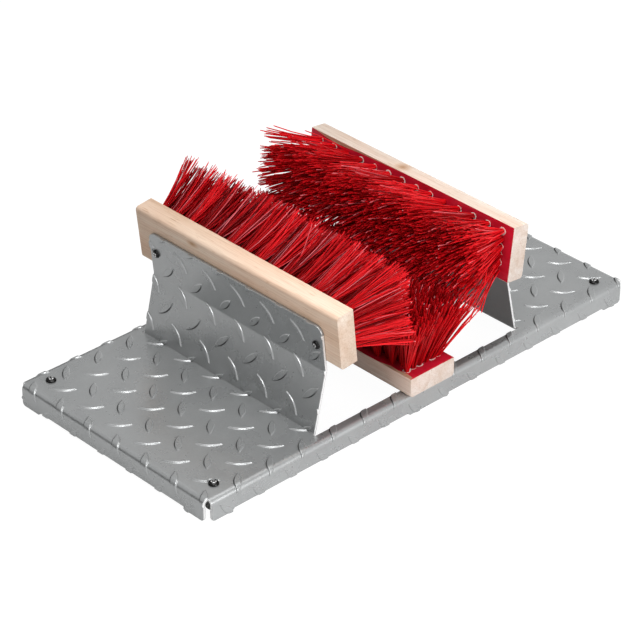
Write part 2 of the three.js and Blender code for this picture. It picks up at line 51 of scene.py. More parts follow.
# Base plate, as in the CAD source
PLATE_LENGTH = 600
PLATE_WIDTH = 289
PLATE_HEIGHT = 24.5
FOOT_PROUD = 1
SHEET = 3
INSIDE_BEND = 3
FOLD_BEND = 1
NEUTRAL_SHARE = 0.4
FOOT_STEP = 3
CORNER_FOOT = 25.5
FOOT_RAMP = 4
MIDDLE_FOOT_HALF = 26
FLANGE_CORNER = 4
RAIL_WIDTH = 13
TAB_SLOT = 3.1
TAB_LOWER = 68.4
TAB_UPPER = 51.6
LEAN_IN = radians(12.7)
LEAN_OUT = radians(6.4)
TAB_CORNER = 9
KNEE_BEND = 8
FOLD_RELIEF = 0.3
LUG_SLOT = 3.8
LUG_MARGIN = 12
LUG_CORNER = 6

# Raised tread bars: pointed ovals with rounded flanks
TREAD_PITCH = (42.4, 43.4)
TREAD_START = (-274.8, 102.8)
TREAD_HALF_LENGTH = 14
TREAD_HALF_WIDTH = 4
TREAD_FLANK = 1.2
TREAD_RISE = 1.15
TREAD_CROWN = 0.08
TREAD_RINGS = (-0.4, 0, 0.25, 0.55, 0.85, 1.2, 1.4)
TREAD_FADE = 0.8
TREAD_COLUMNS = range(-3, 18)
TREAD_LINES = range(-3, 12)
HEAD_CLEAR = 1

# Painted shade, from 0 to 1: painted dark reflections along one foot of a bar and how far they reach
# there, and painted shade in the tabs' folds, on their lower halves and insides, and along their top edges
BAR_PAINTED_REFLECTION = 0.95
BAR_REFLECTION_REACH = 1
FOLD_PAINTED_SHADE = 0.2
TAB_PAINTED_SHADE = 0.08
INNER_PAINTED_SHADE = 0.4
TAB_EDGE_PAINTED_SHADE = 0.8

# Finer steps than the CAD uses
FOLD_STEPS = 8
KNEE_STEPS = 6
FOLD_GUARD = 0.6
CORNER_STEPS = 10
ROUND_STEPS = 24
BAR_STEPS = 11
RIDGE_STEPS = 5
HEIGHT_STEPS = 24
EDGE_ROUND = 0.45
EDGE_RINGS = (0.13, 0.45, 1.0)

# Brushes, as in the CAD source
BOOT_GAP = 70
BLOCK_LENGTH = PLATE_WIDTH + 9
BLOCK_WIDTH = 62.5
BLOCK_THICKNESS = 21.7
BLOCK_ROUND = 4
BLOCK_EDGE = 0.5
BLOCK_ABOVE_KNEE = 9
SEAT_GAP = 0.3
TUFT_ROWS = 6
TUFT_COLUMNS = 27
TUFT_PITCH = 8.7
TUFT_END_MARGIN = 15.5
STRAND_LENGTH = 71

# Bristles of each tuft
TUFT_HOLE = 2.6
HOLE_DEPTH = 3
HOLE_RIM = 0.35
HOLE_DROP = 0.25
HOLE_WEAR = 2.6
HOLE_SIDES = 14
CHIPS = (0.6, 3.0)
INNER_CHIPS = 0.8
EDGE_CHIPS = 0.9
FILAMENT_SIDES = 4
FILAMENT_STEPS = (0, 0.3, 0.65, 0.965, 1)
FILAMENT_TAPER = (1, 1, 1, 0.95, 0.7)
TUFT_SPREAD = 11.5
END_LEAN = 20
FAN_JITTER = 0.3
LEAN_JITTER = 0.9
TIP_LEAN = 0.2
BOW = 1.1
LENGTH_JITTER = 1.8
LEAST_RISE = 30
TIP_LIMIT = (58, 170)

# The tufts' leans wander in waves, along and across the brush
WAVES = 5
WAVE_ALONG = (0.06, 0.2)
WAVE_ACROSS = (-0.2, 0.2)

# A few strands stray, by a lean and a bow, and some are shorter
STRAY_SHARE = 0.01
STRAY_LEAN = 7
STRAY_BOW = 4
SHORT_SHARE = 0.15
SHORTER_BY = (2, 10)

# Shades: the painted shade of the inner tufts as a share, how unlike the strands are, and how strong the
# painted pink highlights are
INNER_TUFT_PAINTED_SHADE = 0.66
SHADE_JITTER = 0.15
HIGHLIGHT_STRENGTH = (0.3, 0.7)

# Each brush's bristles: how many in a tuft and their radius, how far the lowest and highest
# rows lean out and how much less at the near end, the spread of a tuft at the far end, how
# unevenly the tufts lie, the shade, the painted light towards the near end and in the outermost
# tufts, its changes from tuft to tuft, the painted shade at the roots, and the shares of strands
# with a painted pink highlight or a painted glint on their cut end
BRISTLES = {
    "left": {"seed": 10, "count": 30, "radius": 0.5, "leans": (10, 18), "tuck": 0,
             "far_spread": 8, "unrest": 1.8, "shade": 0.37, "near_painted_light": 0.28,
             "outer_painted_light": 0.54, "change": 0.1, "root_painted_shade": 0.5, "highlight_share": 0.14, "tip_glint_share": 0.02},
    "right": {"seed": 12, "count": 16, "radius": 0.62, "leans": (21, 18), "tuck": 0.15,
              "far_spread": 5, "unrest": 3.4, "shade": 0.69, "near_painted_light": 0,
              "outer_painted_light": 0.3, "change": 0.15, "root_painted_shade": 0.35, "highlight_share": 0.05, "tip_glint_share": 0.008},
    "floor": {"seed": 30, "count": 28, "radius": 0.55, "leans": (14, 34), "tuck": 0.2,
              "far_spread": 9, "unrest": 2, "shade": 0.38, "near_painted_light": 0,
              "outer_painted_light": 0.54, "change": 0.1, "root_painted_shade": 0.4, "highlight_share": 0.03, "tip_glint_share": 0.01},
}

# Where the red paint stops short of a block's edge: places along the edge, and widths
BARE_TOP_EDGE = ((147, 0), (128, 3.2), (111, 4.8), (96, 4.0), (75, 2.6), (52, 1.8), (25, 1), (-5, 0))
BARE_SIDE_EDGE = ((-147, 4.5), (-138, 5.6), (-127, 3.6), (-116, 4.2), (-104, 1.2), (-92, 0))

# Fasteners
BLOCK_SCREW_INSET = 30
BLOCK_SCREW_HEIGHT = 28.5
WOOD_SHANK = 2.2
WOOD_HEAD = 4.7
WOOD_HEAD_HEIGHT = 2.8
WOOD_LENGTH = 17
CORNER_SHANK = 2.5
CORNER_HEAD = 5.5
CORNER_HEAD_HEIGHT = 3
CORNER_LENGTH = 20
CORNER_INSET = (26.5, 20.5)
HEAD_RIM = 0.5
DOME_STEPS = 9
THREAD_DEPTH = 0.35
# The share of a screw head's radius in bright steel; beyond it the rim is painted dark, as painted shade
# and dark reflection
BRIGHT_SHARE = 0.55
WASHER_RADIUS = 5.2
WASHER_THICKNESS = 1
NUT_HEIGHT = 4
NUT_HALF_WIDTH = 4
NUT_CORNER = 4.6
NUT_END = 3.95
NUT_CHAMFER = 0.35
FOOT_WEB = 11
TURN_STEPS = 48
BOX_FACES = ((3, 2, 1, 0), (4, 5, 6, 7), (0, 1, 5, 4), (1, 2, 6, 5), (2, 3, 7, 6), (3, 0, 4, 7))

# Wood, in metres: how deep the end grain shows, and how far a knot reaches
END_GRAIN = 0.0006
KNOT_REACH = (0.004, 0.011, 0.012)

# Camera, solved from the photograph
AZIMUTH = radians(-43.69)
ELEVATION = radians(31.97)
ROLL = radians(0.29)
LOOK_AT = (31.78, 47.69, 1)
CAMERA_DISTANCE = 2936.7
LENS = 154.35
SENSOR = 36
FAR_CLIP = 100

# Studio, in metres. The floor's tones are a grey and a glow, for each kind of ray. The world
# is 1 to the camera, and so is what metal mirrors of it low down.
FLOOR_HALF = 12
SEEN_FLOOR = (0.12, 0.97)
MIRRORED_FLOOR = (0.6, 0.22)
PLAIN_FLOOR = 0.56
WORLD_LIGHT = 0.21
MIRRORED_OVERHEAD = 0.6
DIMMED_FROM_TO = (0.1, 0.45)
CARD_BASE = 0.02
LIT_HEIGHT = 0.08

# Values worked out from the sizes above
PLATE_TOP = PLATE_HEIGHT + FOOT_PROUD
OUTSIDE_BEND = INSIDE_BEND + SHEET
HALF_LENGTH = PLATE_LENGTH / 2
HALF_WIDTH = PLATE_WIDTH / 2
BEND_X = HALF_LENGTH - OUTSIDE_BEND
BEND_Y = HALF_WIDTH - OUTSIDE_BEND
OPENING_HALF = HALF_WIDTH - RAIL_WIDTH
TAB_HALF = OPENING_HALF - TAB_SLOT
TAB_REACH = TAB_HALF + TAB_SLOT / 2
BLOCK_SCREW_Y = BLOCK_LENGTH / 2 - BLOCK_SCREW_INSET
BRUSH_REACH = SHEET + SEAT_GAP + BLOCK_THICKNESS + STRAND_LENGTH
KNEE_X = BOOT_GAP / 2 + BRUSH_REACH * cos(LEAN_OUT)
KNEE_HEIGHT = PLATE_TOP + TAB_LOWER * cos(LEAN_IN)
TAB_FOLD_X = KNEE_X + TAB_LOWER * sin(LEAN_IN)
FIRST_BEND = pi / 2 - LEAN_IN
SECOND_BEND = LEAN_IN + LEAN_OUT
FOLD_CUT = FOLD_BEND * tan(FIRST_BEND / 2)
TAB_BEND_LINE = TAB_FOLD_X + FOLD_CUT
KNEE_CUT = KNEE_BEND * tan(SECOND_BEND / 2)
TAB_LOWER_FLAT = TAB_LOWER - FOLD_CUT - KNEE_CUT
TAB_UPPER_FLAT = TAB_UPPER - KNEE_CUT


def bend_allowance(angle, radius):
    """The length of flat sheet that a bend takes up."""
    return angle * (radius + NEUTRAL_SHARE * SHEET)


FLANGE_ALLOWANCE = bend_allowance(pi / 2, INSIDE_BEND)
FLANGE_DEPTH = FLANGE_ALLOWANCE + PLATE_HEIGHT - OUTSIDE_BEND
FOLD_ALLOWANCE = bend_allowance(FIRST_BEND, FOLD_BEND)
KNEE_ALLOWANCE = bend_allowance(SECOND_BEND, KNEE_BEND)
KNEE_START = FOLD_ALLOWANCE + TAB_LOWER_FLAT
KNEE_END = KNEE_START + KNEE_ALLOWANCE
TAB_END_X = TAB_BEND_LINE - KNEE_END - TAB_UPPER_FLAT
TAB_SLOT_MIDDLE = TAB_END_X - LUG_SLOT / 2
TAB_SCREW_FLAT_X = TAB_BEND_LINE - (KNEE_END - KNEE_CUT + BLOCK_SCREW_HEIGHT)
CORNER_SCREW_X = HALF_LENGTH - CORNER_INSET[0]
CORNER_SCREW_Y = HALF_WIDTH - CORNER_INSET[1]
WEB_UNDERSIDE = PLATE_TOP - SHEET - SEAT_GAP - FOOT_WEB
SEAT_HALF = BLOCK_WIDTH / 2 + 1
SEAT_END = BEND_Y + 3


# Materials
class Nodes:
    """A node tree. Its calls add nodes, and most hand on a (node, output) pair."""

    def __init__(self, tree):
        self.tree = tree

    def node(self, kind, inputs=(), **settings):
        """Adds a node. Each input, by name or number, gets a value or a pair."""
        made = self.tree.nodes.new("ShaderNode" + kind)
        for key, value in settings.items():
            setattr(made, key, value)
        for name, value in dict(inputs).items():
            if isinstance(value, tuple) and isinstance(value[0], bpy.types.Node):
                self.link(value, made.inputs[name])
            else:
                made.inputs[name].default_value = value
        return made

    def link(self, source, entry):
        self.tree.links.new(source[0].outputs[source[1]], entry)

    def work_out(self, operation, *values):
        return self.node("Math", enumerate(values), operation=operation), 0

    def span(self, source, low, high, new_low=0, new_high=1):
        """Maps a range of values to another range."""
        inputs = {"Value": source, "From Min": low, "From Max": high, "To Min": new_low, "To Max": new_high}
        return self.node("MapRange", inputs), "Result"

    def matt(self, tone, glow=0):
        """A matt surface of a grey tone, with or without a glow."""
        surface = self.node("BsdfDiffuse", {"Color": (tone, tone, tone, 1)}), 0
        if glow:
            light = self.node("Emission", {"Strength": glow}), 0
            surface = self.node("AddShader", {0: surface, 1: light}), 0
        return surface

    def rays(self):
        """1 for the camera's rays, and 1 for all that show the background: the camera's, and
        those off metal or through glass."""
        path = self.node("LightPath")
        camera = shown = (path, "Is Camera Ray")
        for kind in ("Is Glossy Ray", "Is Transmission Ray"):
            shown = self.work_out("MAXIMUM", shown, (path, kind))
        return camera, shown


class Shader(Nodes):
    """The nodes of a material with one principled surface."""

    def __init__(self, name, **values):
        self.material = bpy.data.materials.new(name)
        self.material.use_nodes = True
        super().__init__(self.material.node_tree)
        self.surface = self.tree.nodes["Principled BSDF"]
        for key, value in values.items():
            self.surface.inputs[key.replace("_", " ")].default_value = value

    def feed(self, source, entry):
        self.link(source, self.surface.inputs[entry])

    def place(self, scale=(1, 1, 1), shift=(0, 0, 0)):
        """Object coordinates, stretched by a scale on each axis."""
        coordinates = (self.node("TexCoord"), "Object")
        inputs = {"Vector": coordinates, "Location": shift, "Scale": scale}
        return self.node("Mapping", inputs), "Vector"

    def noise(self, place, scale, detail=3, roughness=0.5, distortion=0):
        inputs = {"Vector": place, "Scale": scale, "Detail": detail, "Roughness": roughness,
                  "Distortion": distortion}
        return self.node("TexNoise", inputs), "Fac"

    def mark(self, name):
        return self.node("Attribute", attribute_name=name), "Fac"

    def ramp(self, source, stops):
        made = self.node("ValToRGB", {"Fac": source})
        ramp = made.color_ramp
        while len(ramp.elements) < len(stops):
            ramp.elements.new(0.5)
        for element, (position, colour) in zip(ramp.elements, stops):
            element.position = position
            element.color = (*colour, 1)
        return made, "Color"

    def mix(self, share, first, second, blend="MIX"):
        """Mixes two colours. The share is a number or a pair."""
        second = second if isinstance(second[0], bpy.types.Node) else (*second, 1)
        inputs = {0: share, 6: first, 7: second}
        return self.node("Mix", inputs, data_type="RGBA", blend_type=blend), 2

    def bump(self, source, strength, distance):
        inputs = {"Height": source, "Strength": strength, "Distance": distance}
        self.feed((self.node("Bump", inputs), "Normal"), "Normal")


def plate_material():
    """Grey galvanised sheet with a soft lustre, faint mottling, fine speckle, and painted shade and painted
    dark reflections.
    """
    shader = Shader("galvanised_sheet", Metallic=0.6)
    place = shader.place()
    mottle = shader.noise(place, 26, 4, 0.6)
    speckle = shader.noise(place, 800, 2, 0.6)
    tone = shader.ramp(mottle, [(0.3, (0.395, 0.405, 0.407)), (0.7, (0.435, 0.445, 0.447))])
    grain = shader.ramp(speckle, [(0.35, (0.88, 0.88, 0.88)), (0.65, (1, 1, 1))])
    tone = shader.mix(0.6, tone, grain, "MULTIPLY")
    # Painted shade and painted dark reflections darken the sheet towards black and roughen it
    dirt = shader.mark("dirt")
    shader.feed(shader.mix(dirt, tone, (0.03, 0.03, 0.03)), "Base Color")
    rough = shader.span(mottle, 0.3, 0.7, 0.25, 0.31)
    shader.feed(shader.work_out("MAXIMUM", rough, dirt), "Roughness")
    shader.bump(speckle, 0.05, 0.0003)
    return shader.material


def wood_material(name, shift, knot, tint=(1, 1, 1)):
    """Pale beech with long grain, short flecks, a small knot and end grain on the cut ends."""
    shader = Shader(name, Roughness=0.6, Specular_IOR_Level=0.35)
    long_grain = shader.place((1, 0.03, 1), shift)
    bands = shader.noise(long_grain, 70, 4, 0.6, 0.5)
    fibres = shader.noise(long_grain, 800, 3, 0.65)
    flecks = shader.noise(shader.place((1, 0.1, 1), shift), 550, 2, 0.5)
    cloud = shader.noise(shader.place((1, 0.35, 1), shift), 22, 3, 0.5)
    warm = shader.ramp(bands, [
        (0.28, (0.80, 0.575, 0.42)), (0.5, (0.90, 0.70, 0.55)), (0.72, (0.97, 0.81, 0.67)),
    ])
    warm = shader.mix(1, warm, tint, "MULTIPLY")
    rosy = shader.ramp(cloud, [(0.35, (1, 0.93, 0.90)), (0.65, (1, 1, 1))])
    streak = shader.ramp(fibres, [(0.32, (0.80, 0.73, 0.66)), (0.56, (1, 1, 1))])
    fleck = shader.ramp(flecks, [(0.27, (0.72, 0.58, 0.45)), (0.35, (1, 1, 1))])
    spread = [1 / reach for reach in KNOT_REACH]
    near = shader.place(spread, [-k * s for k, s in zip(knot, spread)])
    spot = (shader.node("TexGradient", {"Vector": near}, gradient_type="SPHERICAL"), "Fac")
    ring = shader.ramp(spot, [(0, (1, 1, 1)), (0.45, (0.86, 0.76, 0.66)), (0.9, (0.62, 0.45, 0.32))])
    apart = (shader.node("SeparateXYZ", {"Vector": shader.place()}), "Y")
    half = BLOCK_LENGTH / 2 * MM
    at_end = shader.span(shader.work_out("ABSOLUTE", apart), half - END_GRAIN, half)
    end_grain = shader.ramp(at_end, [(0, (1, 1, 1)), (1, (0.74, 0.785, 0.83))])
    for share, layer in ((1, rosy), (0.75, streak), (0.7, fleck), (1, ring), (1, end_grain)):
        warm = shader.mix(share, warm, layer, "MULTIPLY")
    shader.feed(warm, "Base Color")
    shader.bump(fibres, 0.25, 0.0003)
    return shader.material


def paint_material():
    """Thin red paint on the brush face, chipped to the wood where it is worn."""
    shader = Shader("red_paint", Roughness=0.45, Specular_IOR_Level=0.25)
    uneven = shader.noise(shader.place((1, 0.3, 1)), 120, 4, 0.6)
    chips = shader.noise(shader.place(), 420, 3, 0.7)
    red = shader.ramp(uneven, [
        (0.3, (0.50, 0.007, 0.022)), (0.55, (0.58, 0.010, 0.034)), (0.8, (0.66, 0.035, 0.06)),
    ])
    bare = shader.span(shader.work_out("MULTIPLY", chips, shader.mark("wear")), 0.50, 0.54)
    shader.feed(shader.mix(bare, red, (1, 0.93, 0.86)), "Base Color")
    shader.bump(uneven, 0.3, 0.0004)
    return shader.material


def bristle_material():
    """Red plastic. Each strand has its own shade, partly its own tone and partly painted light and shade,
    and a few have a painted pink highlight or a painted glint at the end.
    """
    shader = Shader("red_bristle", Roughness=0.35, Specular_IOR_Level=0.08)
    body = shader.ramp(shader.mark("shade"), [
        (0.0, (0.10, 0.0005, 0.001)), (0.5, (0.70, 0.005, 0.010)), (1.0, (0.92, 0.020, 0.028)),
    ])
    # Painted pink highlights along some strands, and painted glints on some cut ends
    bleach = shader.mark("bleach")
    highlight_colour = shader.ramp(bleach, [(0.8, (0.98, 0.25, 0.29)), (0.98, (1, 0.74, 0.72))])
    shader.feed(shader.mix(bleach, body, highlight_colour), "Base Color")
    return shader.material


def steel_material(name, dark, light, gloss, metallic=1.0):
    """Plated screw steel with fine scratches."""
    shader = Shader(name, Metallic=metallic)
    scratches = shader.noise(shader.place((1, 1, 0.2)), 1500, 3, 0.6)
    tone = shader.ramp(scratches, [(0.3, (dark, dark, dark)), (0.7, (light, light, light))])
    shader.feed(tone, "Base Color")
    shader.feed(shader.span(scratches, 0.3, 0.7, gloss, gloss + 0.12), "Roughness")
    shader.bump(scratches, 0.1, 0.0001)
    return shader.material


def rubber_material():
    """Pale grey moulded rubber."""
    shader = Shader("grey_rubber", Roughness=0.85)
    dust = shader.noise(shader.place(), 300, 4, 0.6)
    tone = shader.ramp(dust, [(0.3, (0.46, 0.46, 0.44)), (0.7, (0.58, 0.58, 0.56))])
    shader.feed(tone, "Base Color")
    shader.bump(dust, 0.2, 0.0002)
    return shader.material


GALVANISED = plate_material()
CUT_EDGE = steel_material("cut_sheet_edge", 0.75, 0.9, 0.3, 0.3)
BEECH = {
    "left": wood_material("beech_left", (0, 0, 0), (0.024, -0.062, 0), (0.98, 0.96, 0.94)),
    "right": wood_material("beech_right", (0.31, 0.2, 0.11), (0.031, 0.02, 0.012),
                           (0.98, 1.08, 1.19)),
    "floor": wood_material("beech_floor", (0.57, 0.4, 0.23), (-0.031, 0.05, 0.008),
                           (1, 1.05, 1.14)),
}
# A darker beech where the paint misses a block's face
DARKER_BEECH = wood_material("beech_darker", (0.1, 0.6, 0.3), (1, 1, 1), (0.62, 0.52, 0.45))
RED_PAINT = paint_material()
RED_BRISTLE = bristle_material()
ZINC = steel_material("zinc_plated_steel", 0.62, 0.78, 0.26)
# Screws are one steel in two tones: bright in the middle of the head, and painted dark on the rim and below
# as painted shade and dark reflection
BRIGHT_STEEL = steel_material("polished_steel", 0.82, 0.95, 0.12, 0.5)
PAINTED_DARK_STEEL = steel_material("steel_painted_dark", 0.012, 0.04, 0.2)
RUBBER = rubber_material()


# Meshes
def add_object(name, data):
    made = bpy.data.objects.new(name, data)
    bpy.context.scene.collection.objects.link(made)
    return made


def add_piece(name, points, faces, materials, node, smooth=SHARP_ANGLE, place=None, marks=None):
    """Adds a mesh in millimetres as a piece that stands for a CAD node."""
    mesh = bpy.data.meshes.new(name)
    mesh.from_pydata([tuple(c * MM for c in point) for point in points], [], faces)
    if marks:
        for mark, values in marks.items():
            layer = mesh.attributes.new(mark, "FLOAT", "POINT")
            layer.data.foreach_set("value", values)
    for material in materials:
        mesh.materials.append(material)
    mesh.shade_smooth()
    if smooth:
        mesh.set_sharp_from_angle(angle=radians(smooth))
    mesh.update()
    piece = add_object(name, mesh)
    if place:
        piece.matrix_world = place
    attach(piece, "root")
    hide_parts(node)
    return piece


def arc(x, y, radius, start, stop, steps):
    """Points along an arc about (x, y), from one angle to another."""
    angles = np.linspace(start, stop, steps + 1)
    return [(x + radius * cos(a), y + radius * sin(a)) for a in angles]


def smoothstep(value):
    value = np.clip(value, 0, 1)
    return value * value * (3 - 2 * value)


def inset(loop, distance):
    """Moves a closed loop to its left by a distance."""
    points = np.array(loop)
    sides = np.roll(points, -1, axis=0) - points
    sides /= np.linalg.norm(sides, axis=1)[:, None]
    left_after = np.stack([-sides[:, 1], sides[:, 0]], axis=1)
    left_before = np.roll(left_after, 1, axis=0)
    middle = left_before + left_after
    middle /= np.sum(middle * left_before, axis=1)[:, None]
    return points + middle * distance


def inside(points, loop):
    """Which points lie inside a closed loop."""
    result = np.zeros(len(points), bool)
    x, y = points[:, 0], points[:, 1]
    for (ax, ay), (bx, by) in zip(loop, np.roll(loop, -1, axis=0)):
        if ay == by:
            continue
        crosses = (ay > y) != (by > y)
        result ^= crosses & (x < ax + (y - ay) * (bx - ax) / (by - ay))
    return result


def distance_to(points, loops):
    """Distance from each point to the nearest of the closed loops."""
    best = np.full(len(points), np.inf)
    for loop in loops:
        loop = np.asarray(loop, float)
        for a, b in zip(loop, np.roll(loop, -1, axis=0)):
            along = b - a
            share = np.clip(((points - a) @ along) / (along @ along), 0, 1)
            gap = points - a - share[:, None] * along
            best = np.minimum(best, np.hypot(gap[:, 0], gap[:, 1]))
    return best


def triangulate(loops, lines):
    """Triangles over closed loops and open lines, as an array of points and one of corners."""
    points = []
    edges = []
    for loop in loops:
        start = len(points)
        points.extend(tuple(point) for point in loop)
        edges.extend((start + i, start + (i + 1) % len(loop)) for i in range(len(loop)))
    for line in lines:
        start = len(points)
        points.extend(tuple(point) for point in line)
        edges.extend((start + i, start + i + 1) for i in range(len(line) - 1))
    result = delaunay_2d_cdt([Vector(point) for point in points], edges, [], 0, 1e-5, False)
    return np.array([tuple(point) for point in result[0]]), np.array(result[2])


# The folded tread plate
def flange_points(half, middle_half):
    """One flange as places along its bend line and depths past it."""
    foot = FLANGE_DEPTH
    raised = foot - FOOT_STEP
    inner_end = half - CORNER_FOOT
    corner = arc(-half + FLANGE_CORNER, foot - FLANGE_CORNER, FLANGE_CORNER, pi,
                 pi / 2, CORNER_STEPS)
    left = [(-half, 0), *corner, (-inner_end, foot), (-inner_end + FOOT_RAMP, raised)]
    if middle_half:
        left += [(-middle_half - FOOT_RAMP, raised), (-middle_half, foot)]
    return left + [(-along, depth) for along, depth in reversed(left[1:])]


def blank_outline():
    half = [(along, -BEND_Y - depth) for along, depth in flange_points(BEND_X, MIDDLE_FOOT_HALF)]
    half += [(BEND_X + depth, along) for along, depth in flange_points(BEND_Y, 0)]
    return half + [(-x, -y) for x, y in half]


def opening_outline():
    lug_half = TAB_END_X - LUG_SLOT
    lug_tip = BLOCK_SCREW_Y - LUG_MARGIN
    half = [
        *arc(TAB_END_X + TAB_CORNER, TAB_HALF - TAB_CORNER, TAB_CORNER, pi, pi / 2,
             CORNER_STEPS),
        (TAB_BEND_LINE + FOLD_RELIEF, TAB_HALF),
        (TAB_BEND_LINE + FOLD_RELIEF, OPENING_HALF),
        (lug_half, OPENING_HALF),
        *arc(lug_half - LUG_CORNER, lug_tip + LUG_CORNER, LUG_CORNER, 0, -pi / 2,
             CORNER_STEPS),
    ]
    half += [(-x, y) for x, y in reversed(half)]
    return half + [(-x, -y) for x, y in half]


def plate_holes():
    """Screw holes as (x, y, hole radius, radius kept clear of bars)."""
    corner = (CORNER_SHANK + SEAT_GAP, CORNER_HEAD + HEAD_CLEAR)
    wood = (WOOD_SHANK + SEAT_GAP, WOOD_HEAD + HEAD_CLEAR)
    holes = []
    for side_x in SIGNS:
        for side_y in SIGNS:
            holes.append((side_x * CORNER_SCREW_X, side_y * CORNER_SCREW_Y, *corner))
            holes.append((side_x * TAB_SCREW_FLAT_X, side_y * BLOCK_SCREW_Y, *wood))
    return holes + [(0, side * BLOCK_SCREW_Y, *wood) for side in SIGNS]


def tread_bars():
    """Bars lie on two grids, turned one way and the other, half a pitch apart."""
    reach_x = BEND_X + FLANGE_DEPTH
    reach_y = BEND_Y + FLANGE_DEPTH
    bars = []
    for i in TREAD_COLUMNS:
        for j in TREAD_LINES:
            x = TREAD_START[0] + i * TREAD_PITCH[0]
            y = TREAD_START[1] - j * TREAD_PITCH[1]
            bars.append((x, y, -pi / 4))
            bars.append((x + TREAD_PITCH[0] / 2, y + TREAD_PITCH[1] / 2, pi / 4))
    kept = []
    for x, y, angle in bars:
        past_x = abs(x) - TREAD_HALF_LENGTH
        past_y = abs(y) - TREAD_HALF_LENGTH
        notch = past_x > BEND_X and past_y > BEND_Y
        if past_x < reach_x and past_y < reach_y and not notch:
            kept.append((x, y, angle))
    return kept


def bar_rings(x, y, angle):
    """Nested pointed ovals of one bar."""
    rings = []
    turn = np.array([[cos(angle), sin(angle)], [-sin(angle), cos(angle)]])
    share = np.sin(np.linspace(-pi / 2, pi / 2, BAR_STEPS))
    for depth in TREAD_RINGS:
        half = TREAD_HALF_LENGTH - 2 * depth
        width = TREAD_HALF_WIDTH - depth
        upper = np.stack([share * half, width * (1 - share ** 2)], axis=1)
        lower = -upper[1:-1]
        ring = np.concatenate([upper, lower])
        rings.append(ring @ turn + (x, y))
    ridge_half = TREAD_HALF_LENGTH - 2 * TREAD_HALF_WIDTH
    ridge = np.linspace((-ridge_half, 0), (ridge_half, 0), RIDGE_STEPS)
    return rings, ridge @ turn + (x, y)


def near_bars(points, bars):
    """For each bar, the points near it and their places along and across it."""
    for x, y, angle in bars:
        near = np.flatnonzero(np.hypot(points[:, 0] - x, points[:, 1] - y) < TREAD_HALF_LENGTH)
        local = points[near] - (x, y)
        along = local @ (cos(angle), sin(angle))
        across = local @ (-sin(angle), cos(angle))
        yield angle, near, along, across


def painted_shade_marks(points, bars):
    """Painted shade in the tabs' folds, on their lower halves and along their top edges, and painted dark
    reflections along one foot of some bars.
    """
    x, y = np.abs(points).T
    past_fold = TAB_BEND_LINE - FOLD_ALLOWANCE - x
    on_tab = (y < TAB_REACH) & (x > TAB_SLOT_MIDDLE) & (past_fold > -FOLD_ALLOWANCE - CLOSE)
    # Painted shade in the tabs' folds, fading up their lower halves, and along their top edges
    dirt = np.where(on_tab & (past_fold < CLOSE), FOLD_PAINTED_SHADE, 0.0)
    low = np.clip(1 - past_fold / TAB_LOWER_FLAT, 0, 1)
    dirt = np.where(on_tab & (past_fold >= CLOSE), TAB_PAINTED_SHADE * low, dirt)
    dirt = np.where(on_tab & (x < TAB_END_X + 2 * CLOSE), TAB_EDGE_PAINTED_SHADE, dirt)
    # Painted dark reflections along one foot of some bars
    for angle, near, along, across in near_bars(points, bars):
        gap = TREAD_HALF_WIDTH * (1 - (along / TREAD_HALF_LENGTH) ** 2) - np.abs(across)
        side = across if angle > 0 else np.where(on_tab[near], -across, -1)
        foot = (gap > -CLOSE) & (gap < BAR_REFLECTION_REACH) & (side > 0)
        dirt[near[foot]] = BAR_PAINTED_REFLECTION * (1 - (along[foot] / TREAD_HALF_LENGTH) ** 2)
    return dirt


def bar_height(points, bars, holes):
    """Height of the bars at places in the flat blank."""
    height = np.zeros(len(points))
    for _, near, along, across in near_bars(points, bars):
        u, v = np.abs(along), np.abs(across)
        low = np.zeros(len(near))
        high = np.full(len(near), float(TREAD_HALF_WIDTH))
        for _ in range(HEIGHT_STEPS):
            middle = (low + high) / 2
            half = TREAD_HALF_LENGTH - 2 * middle
            room = (TREAD_HALF_WIDTH - middle) * (1 - (u / half) ** 2) - v
            low = np.where(room > 0, middle, low)
            high = np.where(room > 0, high, middle)
        rise = TREAD_RISE * smoothstep(low / TREAD_FLANK) + TREAD_CROWN * low / TREAD_HALF_WIDTH
        height[near] = np.maximum(height[near], rise)
    for x, y, _, clear in holes:
        height *= smoothstep((np.hypot(points[:, 0] - x, points[:, 1] - y) - clear) / TREAD_FADE)
    # No bar rises where the floor brush sits, on the rails and lugs
    across, along = np.abs(points[:, 0]), np.abs(points[:, 1])
    seat = smoothstep((across - SEAT_HALF) / TREAD_FADE)
    on_rail = (along > OPENING_HALF) & (along < SEAT_END)
    on_lug = (along <= OPENING_HALF) & (across < TAB_SLOT_MIDDLE)
    height = np.where(on_rail, height * seat, height)
    return np.where(on_lug, 0, height)


def fold_point(path, distance, height):
    """Turns a distance along the flat and a height over it into a place across the fold."""
    along = distance
    x, y, heading = 0.0, 0.0, 0.0
    for angle, radius, run in path:
        if along <= 0:
            break
        if angle:
            turn = angle * min(1, along / run)
            arm = radius if angle > 0 else -(radius + SHEET)
            centre_x = x - arm * sin(heading)
            centre_y = y + arm * cos(heading)
            heading += turn
            x = centre_x + arm * sin(heading)
            y = centre_y - arm * cos(heading)
        else:
            step = min(along, run)
            x += step * cos(heading)
            y += step * sin(heading)
        along -= run
    if distance < 0:
        x += distance
    return x - height * sin(heading), y + height * cos(heading)


FLANGE_PATH = [(-pi / 2, INSIDE_BEND, FLANGE_ALLOWANCE), (0, 0, inf)]
TAB_PATH = [
    (FIRST_BEND, FOLD_BEND, FOLD_ALLOWANCE),
    (0, 0, TAB_LOWER_FLAT),
    (SECOND_BEND, KNEE_BEND, KNEE_ALLOWANCE),
    (0, 0, inf),
]


